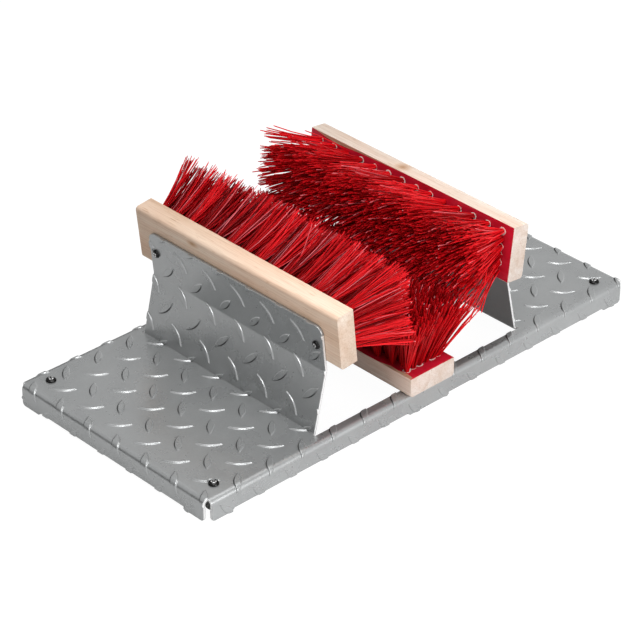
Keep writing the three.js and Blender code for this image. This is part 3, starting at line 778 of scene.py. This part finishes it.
def folded(x, y, height):
    """The place in space of a point at a height over the flat blank."""
    side_x = copysign(1, x)
    side_y = copysign(1, y)
    if abs(x) > BEND_X:
        out, up = fold_point(FLANGE_PATH, abs(x) - BEND_X, height)
        return side_x * (BEND_X + out), y, PLATE_TOP + up
    if abs(y) > BEND_Y:
        out, up = fold_point(FLANGE_PATH, abs(y) - BEND_Y, height)
        return x, side_y * (BEND_Y + out), PLATE_TOP + up
    if abs(y) < TAB_REACH and TAB_SLOT_MIDDLE < abs(x) < TAB_BEND_LINE:
        out, up = fold_point(TAB_PATH, TAB_BEND_LINE - abs(x), height)
        return side_x * (TAB_BEND_LINE - out), y, PLATE_TOP + up
    return x, y, PLATE_TOP + height


def fold_steps(start, run, count):
    """Places across a fold, with one more on each side of it."""
    guard = copysign(FOLD_GUARD, run)
    return [start - guard, *np.linspace(start, start + run, count + 1), start + run + guard]


def fold_lines():
    """Lines of the flat blank where the sheet bends."""
    far = PLATE_LENGTH
    lines = []
    for side in SIGNS:
        for x in fold_steps(BEND_X, FLANGE_ALLOWANCE, FOLD_STEPS):
            lines.append([(side * x, -far), (side * x, far)])
        for y in fold_steps(BEND_Y, FLANGE_ALLOWANCE, FOLD_STEPS):
            lines.append([(-far, side * y), (far, side * y)])
        tab = fold_steps(TAB_BEND_LINE, -FOLD_ALLOWANCE, FOLD_STEPS)
        tab += fold_steps(TAB_BEND_LINE - KNEE_START, -KNEE_ALLOWANCE, KNEE_STEPS)
        for x in tab:
            lines.append([(side * x, -TAB_REACH), (side * x, TAB_REACH)])
    return lines


def sheet_edges(holes):
    """The blank's outline, its opening and its holes, each with the sheet on its left."""
    circles = [arc(x, y, radius, 0, -2 * pi, ROUND_STEPS)[:-1] for x, y, radius, _ in holes]
    edges = []
    for loop in (blank_outline(), opening_outline(), *circles):
        area = sum(ax * by - bx * ay for (ax, ay), (bx, by) in zip(loop, loop[1:] + loop[:1]))
        turned = area > 0 if edges else area < 0
        edges.append(np.array(loop[::-1] if turned else loop, float))
    return edges


def flat_sheet(edges, holes, bars):
    """Triangles over the flat blank, with lines along its edges, bends and bars."""
    loops = list(edges)
    for loop in edges:
        loops += [inset(loop, gap) for gap in EDGE_RINGS]
    for x, y, _, clear in holes:
        for gap in (0, TREAD_FADE):
            loops.append(np.array(arc(x, y, clear + gap, 0, 2 * pi, ROUND_STEPS)[:-1]))
    lines = fold_lines()
    for bar in bars:
        rings, ridge = bar_rings(*bar)
        loops += rings
        lines.append(ridge)
    for side in SIGNS:
        for gap in (0, TREAD_FADE):
            x = side * (SEAT_HALF + gap)
            for end in SIGNS:
                lines.append([(x, end * OPENING_HALF), (x, end * SEAT_END)])
    flat, corners = triangulate(loops, lines)
    middles = flat[corners].mean(axis=1)
    keep = inside(middles, edges[0])
    for loop in edges[1:]:
        keep &= ~inside(middles, loop)
    used, corners = np.unique(corners[keep], return_inverse=True)
    return flat[used], corners.reshape(-1, 3)


def make_plate():
    """The sheet as a top and an underside folded from the flat, and the cut faces between."""
    holes = plate_holes()
    bars = tread_bars()
    edges = sheet_edges(holes)
    flat, corners = flat_sheet(edges, holes, bars)
    rim = np.clip(EDGE_ROUND - distance_to(flat, edges), 0, EDGE_ROUND)
    drop = EDGE_ROUND - np.sqrt(EDGE_ROUND ** 2 - rim ** 2)
    top = bar_height(flat, bars, holes) - drop
    dirt = np.where(np.abs(flat[:, 0]) < SEAT_HALF, 0, painted_shade_marks(flat, bars))
    points = [folded(x, y, h) for (x, y), h in zip(flat, top)]
    points += [folded(x, y, h) for (x, y), h in zip(flat, drop - SHEET)]
    count = len(flat)
    faces = corners.tolist()
    sides = dict.fromkeys(side for face in faces for side in zip(face, face[1:] + face[:1]))
    faces += [(c + count, b + count, a + count) for a, b, c in faces]
    faces += [(b, a, a + count, b + count) for a, b in sides if (b, a) not in sides]
    x, y = np.abs(flat).T
    # Painted shade on the inward faces of the tabs
    under_tab = (y < TAB_REACH) & (x > TAB_SLOT_MIDDLE) & (x < TAB_BEND_LINE - FOLD_ALLOWANCE)
    dirt = np.concatenate([dirt, np.where(under_tab, INNER_PAINTED_SHADE, 0)])
    piece = add_piece("tread_plate", points, faces, [GALVANISED, CUT_EDGE], "base_plate",
                      marks={"dirt": dirt})
    bright = (x > TAB_END_X + TAB_CORNER) | (y > TAB_REACH)
    slots = [0] * (2 * len(corners))
    slots += [int(bright[face[0]] and bright[face[1]]) for face in faces[len(slots):]]
    piece.data.polygons.foreach_set("material_index", slots)


# Brushes. Each is modelled lying with its bristles up: X across, Y along, Z = 0 at its back.
def tufts():
    """Root places of the tufts, and each root's share of the way out across and along."""
    row_span = TUFT_PITCH * (TUFT_ROWS - 1) / 2
    column_span = BLOCK_LENGTH / 2 - TUFT_END_MARGIN
    shares = []
    for column in range(TUFT_COLUMNS):
        shift = column % 2
        for row in range(TUFT_ROWS - shift):
            across = (2 * row + shift) / (TUFT_ROWS - 1) - 1
            shares.append((across, 2 * column / (TUFT_COLUMNS - 1) - 1))
    shares = np.array(shares)
    return shares * (row_span, column_span), shares


def block_body():
    """The wooden block with its painted face left open, and that face's outline. Its corners
    and faces are sorted, because bevels make them in another order each time."""
    body = bmesh.new()
    bmesh.ops.create_cube(body, size=1)
    for vertex in body.verts:
        vertex.co.x *= BLOCK_WIDTH
        vertex.co.y *= BLOCK_LENGTH
        vertex.co.z = (vertex.co.z + 0.5) * BLOCK_THICKNESS
    backs = []
    for edge in body.edges:
        a, b = (vertex.co for vertex in edge.verts)
        if abs(a.y - b.y) > 1 and a.z < 1 and b.z < 1:
            backs.append(edge)
    bmesh.ops.bevel(body, geom=backs, offset=BLOCK_ROUND, segments=8, profile=0.5,
                    affect="EDGES")
    sharp = [edge for edge in body.edges if edge.calc_face_angle(0) > 1]
    bmesh.ops.bevel(body, geom=sharp, offset=BLOCK_EDGE, segments=2, profile=0.5, affect="EDGES")
    face = max(body.faces, key=lambda one: (one.calc_center_median().z, one.calc_area()))
    outline = [vertex.co[:2] for vertex in face.verts]
    start = outline.index(min(outline))
    outline = np.array(outline[start:] + outline[:start])
    bmesh.ops.delete(body, geom=[face], context="FACES_ONLY")
    corners = sorted(body.verts, key=lambda vertex: vertex.co[:])
    points = [vertex.co[:] for vertex in corners]
    for number, vertex in enumerate(corners):
        vertex.index = number
    faces = [tuple(vertex.index for vertex in one.verts) for one in body.faces]
    body.free()
    return points, sorted(faces, key=sorted), outline


def bare_area(name):
    """The part of a block's face that the paint misses, as a loop, or None."""
    if name == "right":
        line = [(BLOCK_WIDTH / 2 - width, along) for along, width in BARE_TOP_EDGE]
        return [*line, (BLOCK_WIDTH, line[-1][1]), (BLOCK_WIDTH, line[0][1])]
    if name == "floor":
        line = [(width - BLOCK_WIDTH / 2, along) for along, width in BARE_SIDE_EDGE]
        return [(-BLOCK_WIDTH, line[0][1]), *line, (-BLOCK_WIDTH, line[-1][1])]
    return None


def painted_face(name, outline, roots, rings):
    """A block's face around its tuft holes: points, triangles, which of these the paint misses,
    and how worn the paint is at each point."""
    bare = bare_area(name)
    lines = [bare + bare[:1]] if bare else []
    flat, triangles = triangulate([outline, *sum(rings, [])], lines)
    middles = flat[triangles].mean(axis=1)
    gaps = np.hypot(*(middles[:, None] - roots).transpose(2, 0, 1)).min(axis=1)
    keep = (gaps > TUFT_HOLE * 0.95) & inside(middles, outline)
    wooden = inside(middles, bare) if bare else np.zeros(len(middles), bool)
    gaps = np.hypot(*(flat[:, None] - roots).transpose(2, 0, 1))
    closest = gaps.argmin(axis=1)
    gaps = gaps.min(axis=1)
    x, y = roots[closest].T
    outer = (x > roots[:, 0].max() - 1) | (y < roots[:, 1].min() + 1)
    chipped = np.random.RandomState(BRISTLES[name]["seed"]).uniform(*CHIPS, len(roots))
    worn = np.where(outer, chipped[closest], INNER_CHIPS)
    worn *= np.clip(1 - (gaps - TUFT_HOLE - HOLE_RIM) / HOLE_WEAR, 0, 1)
    at_edge = (np.abs(outline[0]) - np.abs(flat)).min(axis=1) < 0.01
    height = BLOCK_THICKNESS - np.where(gaps < TUFT_HOLE + CLOSE, HOLE_DROP, 0)
    points = np.column_stack([flat, height])
    return points, triangles[keep], wooden[keep], np.maximum(worn, EDGE_CHIPS * at_edge)


def make_block(name, place):
    """A wooden brush head with rounded back edges and drilled tuft holes in its painted face."""
    points, faces, outline = block_body()
    wood, paint, bare_wood = range(3)
    marks = [wood] * len(faces)
    wear = [0.0] * len(points)
    roots, _ = tufts()
    rings = [[np.array(arc(x, y, TUFT_HOLE + gap, 0, 2 * pi, HOLE_SIDES)[:-1]) for x, y in roots]
             for gap in (0, HOLE_RIM, HOLE_RIM + HOLE_WEAR)]
    front, triangles, wooden, worn = painted_face(name, outline, roots, rings)
    faces += (triangles + len(points)).tolist()
    marks += np.where(wooden, bare_wood, paint).tolist()
    points += front.tolist()
    wear += worn.tolist()
    for circle in rings[0]:
        start = len(points)
        count = len(circle)
        for height in (BLOCK_THICKNESS - HOLE_DROP, BLOCK_THICKNESS - HOLE_DEPTH):
            points += [(x, y, height) for x, y in circle]
            wear += [0.0] * count
        for i in range(count):
            after = (i + 1) % count
            faces.append((start + after, start + i, start + count + i, start + count + after))
        faces.append(tuple(start + count + i for i in range(count)))
        marks += [paint] * (count + 1)
    finishes = [BEECH[name], RED_PAINT, DARKER_BEECH]
    piece = add_piece(f"{name}_brush_head", points, faces, finishes,
                      f"{name}_brush_block", place=place, marks={"wear": wear})
    mesh = piece.data
    mesh.polygons.foreach_set("material_index", marks)
    weld = bmesh.new()
    weld.from_mesh(mesh)
    bmesh.ops.remove_doubles(weld, verts=weld.verts, dist=1e-6)
    weld.to_mesh(mesh)
    weld.free()
    mesh.set_sharp_from_angle(angle=radians(SHARP_ANGLE))


def ruffle(roots, size, chance):
    """A slow wander of the tufts' leans, so that neighbours crowd together or part."""
    wander = np.zeros(roots.shape)
    for _ in range(WAVES):
        along = chance.uniform(*WAVE_ALONG)
        across = chance.uniform(*WAVE_ACROSS)
        phase = chance.uniform(0, 2 * pi)
        turn = chance.uniform(0, 2 * pi)
        wave = np.sin(roots[:, 0] * across + roots[:, 1] * along + phase)
        wander += wave[:, None] * (cos(turn), sin(turn))
    return wander * size / sqrt(WAVES / 2) + chance.normal(0, size / 2, roots.shape)


def strand_lines(look, beds, shares, near, each, chance):
    """The middle line of each strand. The tufts lean out, and their strands fan out."""
    across, along = shares.T
    means = np.where(across > 0, look["leans"][1], look["leans"][0]) * across
    means *= 1 - look["tuck"] * np.maximum(near, 0) ** 6
    means = np.stack([means, END_LEAN * along ** 3], axis=1)
    sway = ruffle(beds, look["unrest"], chance)
    tall = chance.normal(0, look["unrest"] / 2, len(beds))
    count = len(each)
    number = np.tile(np.arange(look["count"]), len(beds))
    turn = number * pi * (3 - sqrt(5))
    turn += chance.uniform(-FAN_JITTER, FAN_JITTER, count)
    offset = np.stack([np.cos(turn), np.sin(turn)], axis=1)
    offset *= np.sqrt((number + 0.5) / look["count"])[:, None]
    at_far_end = near[each] < -0.9
    fan = offset * np.where(at_far_end, look["far_spread"], TUFT_SPREAD)[:, None]
    lean = (means + sway)[each] + fan + chance.normal(0, LEAN_JITTER, (count, 2))
    bow = chance.normal(0, BOW, (count, 2))
    stray = chance.uniform(size=count) < STRAY_SHARE
    lean[stray] += chance.normal(0, STRAY_LEAN, (stray.sum(), 2))
    bow[stray] += chance.normal(0, STRAY_BOW, (stray.sum(), 2))
    start = beds[each] + offset * (TUFT_HOLE - look["radius"] - CLOSE)
    limit = np.array(TIP_LIMIT)
    lean = np.clip(start + lean, -limit, limit) - start
    length = STRAND_LENGTH + tall[each] + chance.normal(0, LENGTH_JITTER, count)
    short = chance.uniform(size=count) < SHORT_SHARE
    length -= np.where(short, chance.uniform(*SHORTER_BY, count), 0)
    rise = np.sqrt(np.maximum(length ** 2 - (lean ** 2).sum(axis=1), LEAST_RISE ** 2))
    steps = np.array(FILAMENT_STEPS)
    share = steps[None, :, None]
    level = start[:, None] + lean[:, None] * share * (1 - TIP_LEAN + TIP_LEAN * share)
    level += bow[:, None] * 4 * share * (1 - share)
    sunk = HOLE_DEPTH - 0.5
    up = BLOCK_THICKNESS - sunk + steps * (rise + sunk)[:, None]
    return np.concatenate([level, up[:, :, None]], axis=2)


def strand_rings(line, radius, chance):
    """Rings of points along each strand's line."""
    heading = np.gradient(line, axis=1)
    heading /= np.linalg.norm(heading, axis=2, keepdims=True)
    first = np.cross(heading, (0, 1, 0.01))
    first /= np.linalg.norm(first, axis=2, keepdims=True)
    second = np.cross(heading, first)
    angles = chance.uniform(0, pi, len(line))[:, None] + (
        2 * pi * np.arange(FILAMENT_SIDES) / FILAMENT_SIDES)
    ring = (np.cos(angles)[:, None, :, None] * first[:, :, None]
            + np.sin(angles)[:, None, :, None] * second[:, :, None])
    ring *= radius * np.array(FILAMENT_TAPER)[None, :, None, None]
    return line[:, :, None] + ring


def strand_marks(look, shares, near, each, chance):
    """How light each strand is along its length, and its painted highlights. Strands of the
    outermost tufts and towards the near end get painted light, and all get painted shade towards their
    roots."""
    count = len(each)
    steps = np.array(FILAMENT_STEPS)
    spread = np.abs(shares[each])
    outer = np.maximum(spread[:, 0] ** 8, 0.8 * spread[:, 1] ** 14)
    shade = look["shade"] + chance.normal(0, look["change"], len(shares))[each]
    shade += chance.normal(0, SHADE_JITTER, count)
    # Painted light on the outermost tufts and towards the near end, painted shade on the inner tufts
    shade *= (INNER_TUFT_PAINTED_SHADE + look["outer_painted_light"] * outer) * (1 + look["near_painted_light"] * near[each])
    shade = np.clip(shade, 0, 1)[:, None]
    # Painted shade towards the roots
    shade = shade * (1 - look["root_painted_shade"] * (1 - smoothstep(steps * 1.6)))
    # Painted pink highlights along a share of the strands, and a painted glint on some cut ends
    bleach = chance.uniform(*HIGHLIGHT_STRENGTH, count) * (chance.uniform(size=count) < look["highlight_share"])
    bleach = np.repeat(bleach[:, None], len(steps), axis=1) * smoothstep(steps * 3)
    bleach[chance.uniform(size=count) < look["tip_glint_share"], -1] = 1
    return {"shade": shade, "bleach": bleach}


def make_bristles(name, place, far):
    """Tufts of separate strands that leave their holes together and fan out."""
    look = BRISTLES[name]
    chance = np.random.RandomState(look["seed"])
    beds, shares = tufts()
    near = -far * shares[:, 1]
    each = np.repeat(np.arange(len(beds)), look["count"])
    points = strand_rings(strand_lines(look, beds, shares, near, each, chance), look["radius"], chance)
    marks = strand_marks(look, shares, near, each, chance)
    marks = {mark: np.repeat(values.ravel(), FILAMENT_SIDES) for mark, values in marks.items()}
    per = len(FILAMENT_STEPS) * FILAMENT_SIDES
    corner = np.arange(FILAMENT_SIDES)
    after = (corner + 1) % FILAMENT_SIDES
    wall = np.stack([corner, after, after + FILAMENT_SIDES, corner + FILAMENT_SIDES], axis=1)
    walls = np.concatenate([wall + low for low in range(0, per - FILAMENT_SIDES, FILAMENT_SIDES)])
    base = np.arange(len(each))[:, None] * per
    faces = (base[:, :, None] + walls).reshape(-1, 4).tolist()
    faces += (base + np.arange(per - FILAMENT_SIDES, per)).tolist()
    add_piece(f"{name}_bristle_tufts", points.reshape(-1, 3).tolist(), faces, [RED_BRISTLE],
              f"{name}_bristles", smooth=None, place=place, marks=marks)


def brush_place(side):
    """Frame of a side brush: Z along its bristles, X up along its tab."""
    up = Vector((side * sin(LEAN_OUT), 0, cos(LEAN_OUT)))
    inward = Vector((-side * cos(LEAN_OUT), 0, sin(LEAN_OUT)))
    along = inward.cross(up)
    origin = Vector((side * KNEE_X, 0, KNEE_HEIGHT))
    origin += inward * (SHEET + SEAT_GAP) + up * (BLOCK_ABOVE_KNEE + BLOCK_WIDTH / 2)
    place = Matrix((up, along, inward)).transposed().to_4x4()
    place.translation = origin * MM
    return place


# Fasteners and feet
def lathe(profile, joined=False, flats=inf):
    """Points and faces of a profile of (radius, height) turned about Z. A joined profile's last
    point runs back to its first. Flats cut it to a hexagon that far from its axis."""
    points = []
    for radius, height in profile:
        for angle in 2 * pi * np.arange(TURN_STEPS) / TURN_STEPS:
            bend = (angle + pi / 6) % (pi / 3) - pi / 6
            reach = min(flats / cos(bend), radius)
            points.append((reach * cos(angle), reach * sin(angle), height))
    faces = []
    for row in range(len(profile) - (not joined)):
        low = row * TURN_STEPS
        high = (row + 1) % len(profile) * TURN_STEPS
        for k in range(TURN_STEPS):
            after = (k + 1) % TURN_STEPS
            faces.append((low + k, low + after, high + after, high + k))
    return points, faces


def screw_profile(shank, head, head_height, length, thread):
    """Tip, threaded shank and domed head."""
    profile = [(0.2, -length), (shank * 0.5, -length + 1)]
    height = -length + 2
    while height < -2:
        profile.append((shank - THREAD_DEPTH, height))
        profile.append((shank, height + thread / 2))
        height += thread
    profile += [(shank, 0), (head - 0.15, 0), (head, 0.15), (head, HEAD_RIM)]
    dome = head_height - HEAD_RIM
    for i in range(1, DOME_STEPS):
        angle = pi / 2 * i / DOME_STEPS
        profile.append((head * cos(angle), HEAD_RIM + dome * sin(angle)))
    profile.append((0.15, head_height))
    return profile


def cross_recess(head, head_height):
    """The shape that cuts a cross into a screw's head: two bars that narrow downwards."""
    arm, width, depth = head * 0.55, head * 0.11, head_height * 0.75
    points = []
    faces = []
    for across in (False, True):
        start = len(points)
        for height, share in ((head_height - depth, 0.45), (head_height + 1, 1.15)):
            long, short = arm * share * MM, width * MM
            reach_x, reach_y = (short, long) if across else (long, short)
            points += [(x * reach_x, y * reach_y, height * MM) for x, y in SQUARE]
        faces += [tuple(start + corner for corner in face) for face in BOX_FACES]
    return points, [], faces


def make_screw(name, node, size, place):
    """A pan-head screw with a cross recess cut into its head."""
    head, head_height = size[1:3]
    points, faces = lathe(screw_profile(*size))
    faces.append(tuple(reversed(range(TURN_STEPS))))
    faces.append(tuple(range(len(points) - TURN_STEPS, len(points))))
    piece = add_piece(name, points, faces, [PAINTED_DARK_STEEL, BRIGHT_STEEL], node, place=place)
    # Only the middle of the dome is bright steel; the rim and all below keep the painted dark steel, a
    # painted shade and dark reflection
    for face in piece.data.polygons:
        middle = face.center / MM
        if middle.z > HEAD_RIM and hypot(middle.x, middle.y) < BRIGHT_SHARE * head:
            face.material_index = 1
    mesh = bpy.data.meshes.new("cross_recess")
    mesh.from_pydata(*cross_recess(head, head_height))
    tool = add_object("cross_recess", mesh)
    tool.matrix_world = piece.matrix_world.copy()
    cut = piece.modifiers.new("recess", "BOOLEAN")
    cut.object = tool
    cut.operation = "DIFFERENCE"
    cut.solver = "EXACT"
    cut.use_self = True
    bpy.context.view_layer.update()
    result = bpy.data.meshes.new_from_object(
        piece.evaluated_get(bpy.context.evaluated_depsgraph_get()))
    piece.modifiers.clear()
    piece.data = result
    bpy.data.objects.remove(tool)
    result.shade_smooth()
    result.set_sharp_from_angle(angle=radians(SHARP_ANGLE))


def make_ring(name, node, place, profile, material, flats=inf):
    """A ring turned from a closed profile, with a hexagon's flats on a nut."""
    points, faces = lathe(profile, joined=True, flats=flats)
    add_piece(name, points, faces, [material], node, place=place)


def spot(x, y, z):
    return Matrix.Translation(Vector((x, y, z)) * MM)


WOOD_SCREW = (WOOD_SHANK, WOOD_HEAD, WOOD_HEAD_HEIGHT, WOOD_LENGTH, 1.8)
CORNER_SCREW = (CORNER_SHANK, CORNER_HEAD, CORNER_HEAD_HEIGHT, CORNER_LENGTH, 0.9)
BORE = CORNER_SHANK + SEAT_GAP
FOOT_HEIGHT = WEB_UNDERSIDE + FOOT_WEB
WASHER = [
    (BORE, 0), (5.05, 0), (WASHER_RADIUS, 0.15), (WASHER_RADIUS, WASHER_THICKNESS - 0.15),
    (5.05, WASHER_THICKNESS), (BORE, WASHER_THICKNESS),
]
NUT = [
    (NUT_END, 0), (NUT_CORNER, NUT_CHAMFER), (NUT_CORNER, NUT_HEIGHT - NUT_CHAMFER),
    (NUT_END, NUT_HEIGHT), (BORE, NUT_HEIGHT), (BORE, 0),
]
# A tapered foot with rounded edges and a pocket under it
FOOT = [
    (5.8, 0.3), (6.1, 0), (8.1, 0), (8.4, 0.15), (8.5, 0.5), (9.95, FOOT_HEIGHT * 0.7),
    (10, FOOT_HEIGHT * 0.72), (10, FOOT_HEIGHT - 0.8), (9.75, FOOT_HEIGHT - 0.2),
    (9.2, FOOT_HEIGHT), (BORE, FOOT_HEIGHT), (BORE, WEB_UNDERSIDE), (5.8, WEB_UNDERSIDE),
]
SIDES = {-1: "left", 1: "right"}
ENDS = {-1: "front", 1: "back"}

# The pieces in their places. Each screw that shows has its cross turned its own way.
make_plate()
for side, label in SIDES.items():
    place = brush_place(side)
    make_block(label, place)
    make_bristles(label, place, side)
    for end, end_label in ENDS.items():
        seat = place @ spot(BLOCK_SCREW_HEIGHT - BLOCK_ABOVE_KNEE - BLOCK_WIDTH / 2,
                            end * side * BLOCK_SCREW_Y, -SHEET - 2 * SEAT_GAP)
        flipped = seat @ Matrix.Rotation(pi, 4, "X") @ Matrix.Rotation(0.4 + end, 4, "Z")
        make_screw(f"{label}_tab_screw_{end_label}", f"{label}_brush_screw_{end_label}",
                   WOOD_SCREW, flipped)

floor_place = spot(0, 0, PLATE_TOP + SEAT_GAP)
make_block("floor", floor_place)
make_bristles("floor", floor_place, 1)
for end, end_label in ENDS.items():
    under = spot(0, end * BLOCK_SCREW_Y, PLATE_TOP - SHEET - SEAT_GAP)
    make_screw(f"floor_lug_screw_{end_label}", f"floor_brush_screw_{end_label}", WOOD_SCREW,
               under @ Matrix.Rotation(pi, 4, "X"))

for side, label in SIDES.items():
    for end, end_label in ENDS.items():
        corner = f"{end_label}_{label}"
        x, y = side * CORNER_SCREW_X, end * CORNER_SCREW_Y
        turned = spot(x, y, PLATE_TOP + SEAT_GAP) @ Matrix.Rotation(side + 0.5 * end, 4, "Z")
        make_screw(f"plate_screw_{corner}", f"corner_screw_{corner}", CORNER_SCREW, turned)
        make_ring(f"foot_{corner}", f"rubber_foot_{corner}", spot(x, y, 0), FOOT, RUBBER)
        base = WEB_UNDERSIDE - SEAT_GAP - WASHER_THICKNESS
        make_ring(f"washer_{corner}", f"foot_washer_{corner}", spot(x, y, base), WASHER, ZINC)
        base -= SEAT_GAP + NUT_HEIGHT
        make_ring(f"nut_{corner}", f"foot_nut_{corner}", spot(x, y, base), NUT, ZINC,
                  flats=NUT_HALF_WIDTH)


# Studio
def make_camera():
    """A camera that stands off from the point it looks at, and is rolled a little."""
    flat = cos(ELEVATION)
    back = Vector((sin(AZIMUTH) * flat, -cos(AZIMUTH) * flat, sin(ELEVATION)))
    right = (-back).cross(Vector((0, 0, 1))).normalized()
    up = right.cross(-back)
    turned_right = cos(ROLL) * right + sin(ROLL) * up
    turned_up = cos(ROLL) * up - sin(ROLL) * right
    data = bpy.data.cameras.new("camera")
    data.lens = LENS
    data.sensor_width = SENSOR
    data.clip_end = FAR_CLIP
    camera = add_object("camera", data)
    place = Matrix((turned_right, turned_up, back)).transposed().to_4x4()
    place.translation = (Vector(LOOK_AT) + back * CAMERA_DISTANCE) * MM
    camera.matrix_world = place
    bpy.context.scene.camera = camera


def make_lamp(name, direction, distance, size, strength):
    """A soft lamp of a width and a height. Its strength is its brightness: 1 is white."""
    data = bpy.data.lights.new(name, "AREA")
    data.shape = "RECTANGLE"
    data.size, data.size_y = size
    data.energy = strength * pi * size[0] * size[1]
    lamp = add_object(name, data)
    away = Vector(direction).normalized()
    lamp.location = away * distance + Vector((0, 0, LIT_HEIGHT))
    lamp.rotation_euler = away.to_track_quat("Z", "Y").to_euler()


def make_world():
    """A white background. What metal mirrors of it is a little dimmer overhead than low down."""
    world = bpy.data.worlds.new("studio")
    world.use_nodes = True
    nodes = Nodes(world.node_tree)
    background = world.node_tree.nodes["Background"]
    background.inputs["Color"].default_value = (1, 1, 1, 1)
    direction = (nodes.node("TexCoord"), "Generated")
    height = (nodes.node("SeparateXYZ", {"Vector": direction}), "Z")
    camera, shown = nodes.rays()
    mirrored = nodes.span(height, *DIMMED_FROM_TO, 1, MIRRORED_OVERHEAD)
    strength = nodes.span(camera, 0, 1, mirrored, 1)
    strength = nodes.span(shown, 0, 1, WORLD_LIGHT, strength)
    nodes.link(strength, background.inputs["Strength"])
    bpy.context.scene.world = world


def add_stage(name, corners, material):
    """A flat sheet that isn't part of the object."""
    mesh = bpy.data.meshes.new(name)
    mesh.from_pydata(corners, [], [(0, 1, 2, 3)])
    mesh.materials.append(material)
    sheet = add_object(name, mesh)
    return sheet


def make_floor():
    """A white floor that keeps a faint shadow under the object."""
    material = bpy.data.materials.new("floor")
    material.use_nodes = True
    material.node_tree.nodes.clear()
    nodes = Nodes(material.node_tree)
    camera, shown = nodes.rays()
    surface = nodes.matt(*MIRRORED_FLOOR)
    surface = nodes.node("MixShader", {0: camera, 1: surface, 2: nodes.matt(*SEEN_FLOOR)}), 0
    surface = nodes.node("MixShader", {0: shown, 1: nodes.matt(PLAIN_FLOOR), 2: surface}), 0
    nodes.node("OutputMaterial", {"Surface": surface})
    corners = [(x * FLOOR_HALF, y * FLOOR_HALF, 0) for x, y in SQUARE]
    add_stage("floor", corners, material)


def make_card(name, x, y, turn, half_width, height):
    """A black card, which only metal mirrors, as dark lines along its curved edges."""
    shader = Shader(name, Base_Color=(0.01, 0.01, 0.01, 1), Specular_IOR_Level=0)
    corners = [(side * half_width, 0, (up + 1) / 2 * height) for side, up in SQUARE]
    card = add_stage(name, corners, shader.material)
    card.location = (x, y, CARD_BASE)
    card.rotation_euler = (0, 0, radians(turn))
    for kind in ("camera", "diffuse", "shadow", "transmission"):
        setattr(card, "visible_" + kind, False)


make_camera()
make_world()
make_floor()
make_card("card_behind", 0.36, 1.45, -15, 0.45, 0.8)
make_card("card_left", -1.25, 0.8, 50, 0.5, 0.6)
make_lamp("overhead", (-0.39, -0.36, 0.85), 1.7, (0.65, 0.65), 7.8)
make_lamp("top", (0.1, 0, 1), 2.2, (1.6, 1.6), 2.65)
make_lamp("front", (0.05, -0.95, 0.3), 2.4, (1.4, 1.5), 6.8)
bpy.context.scene.view_settings.view_transform = "Standard"
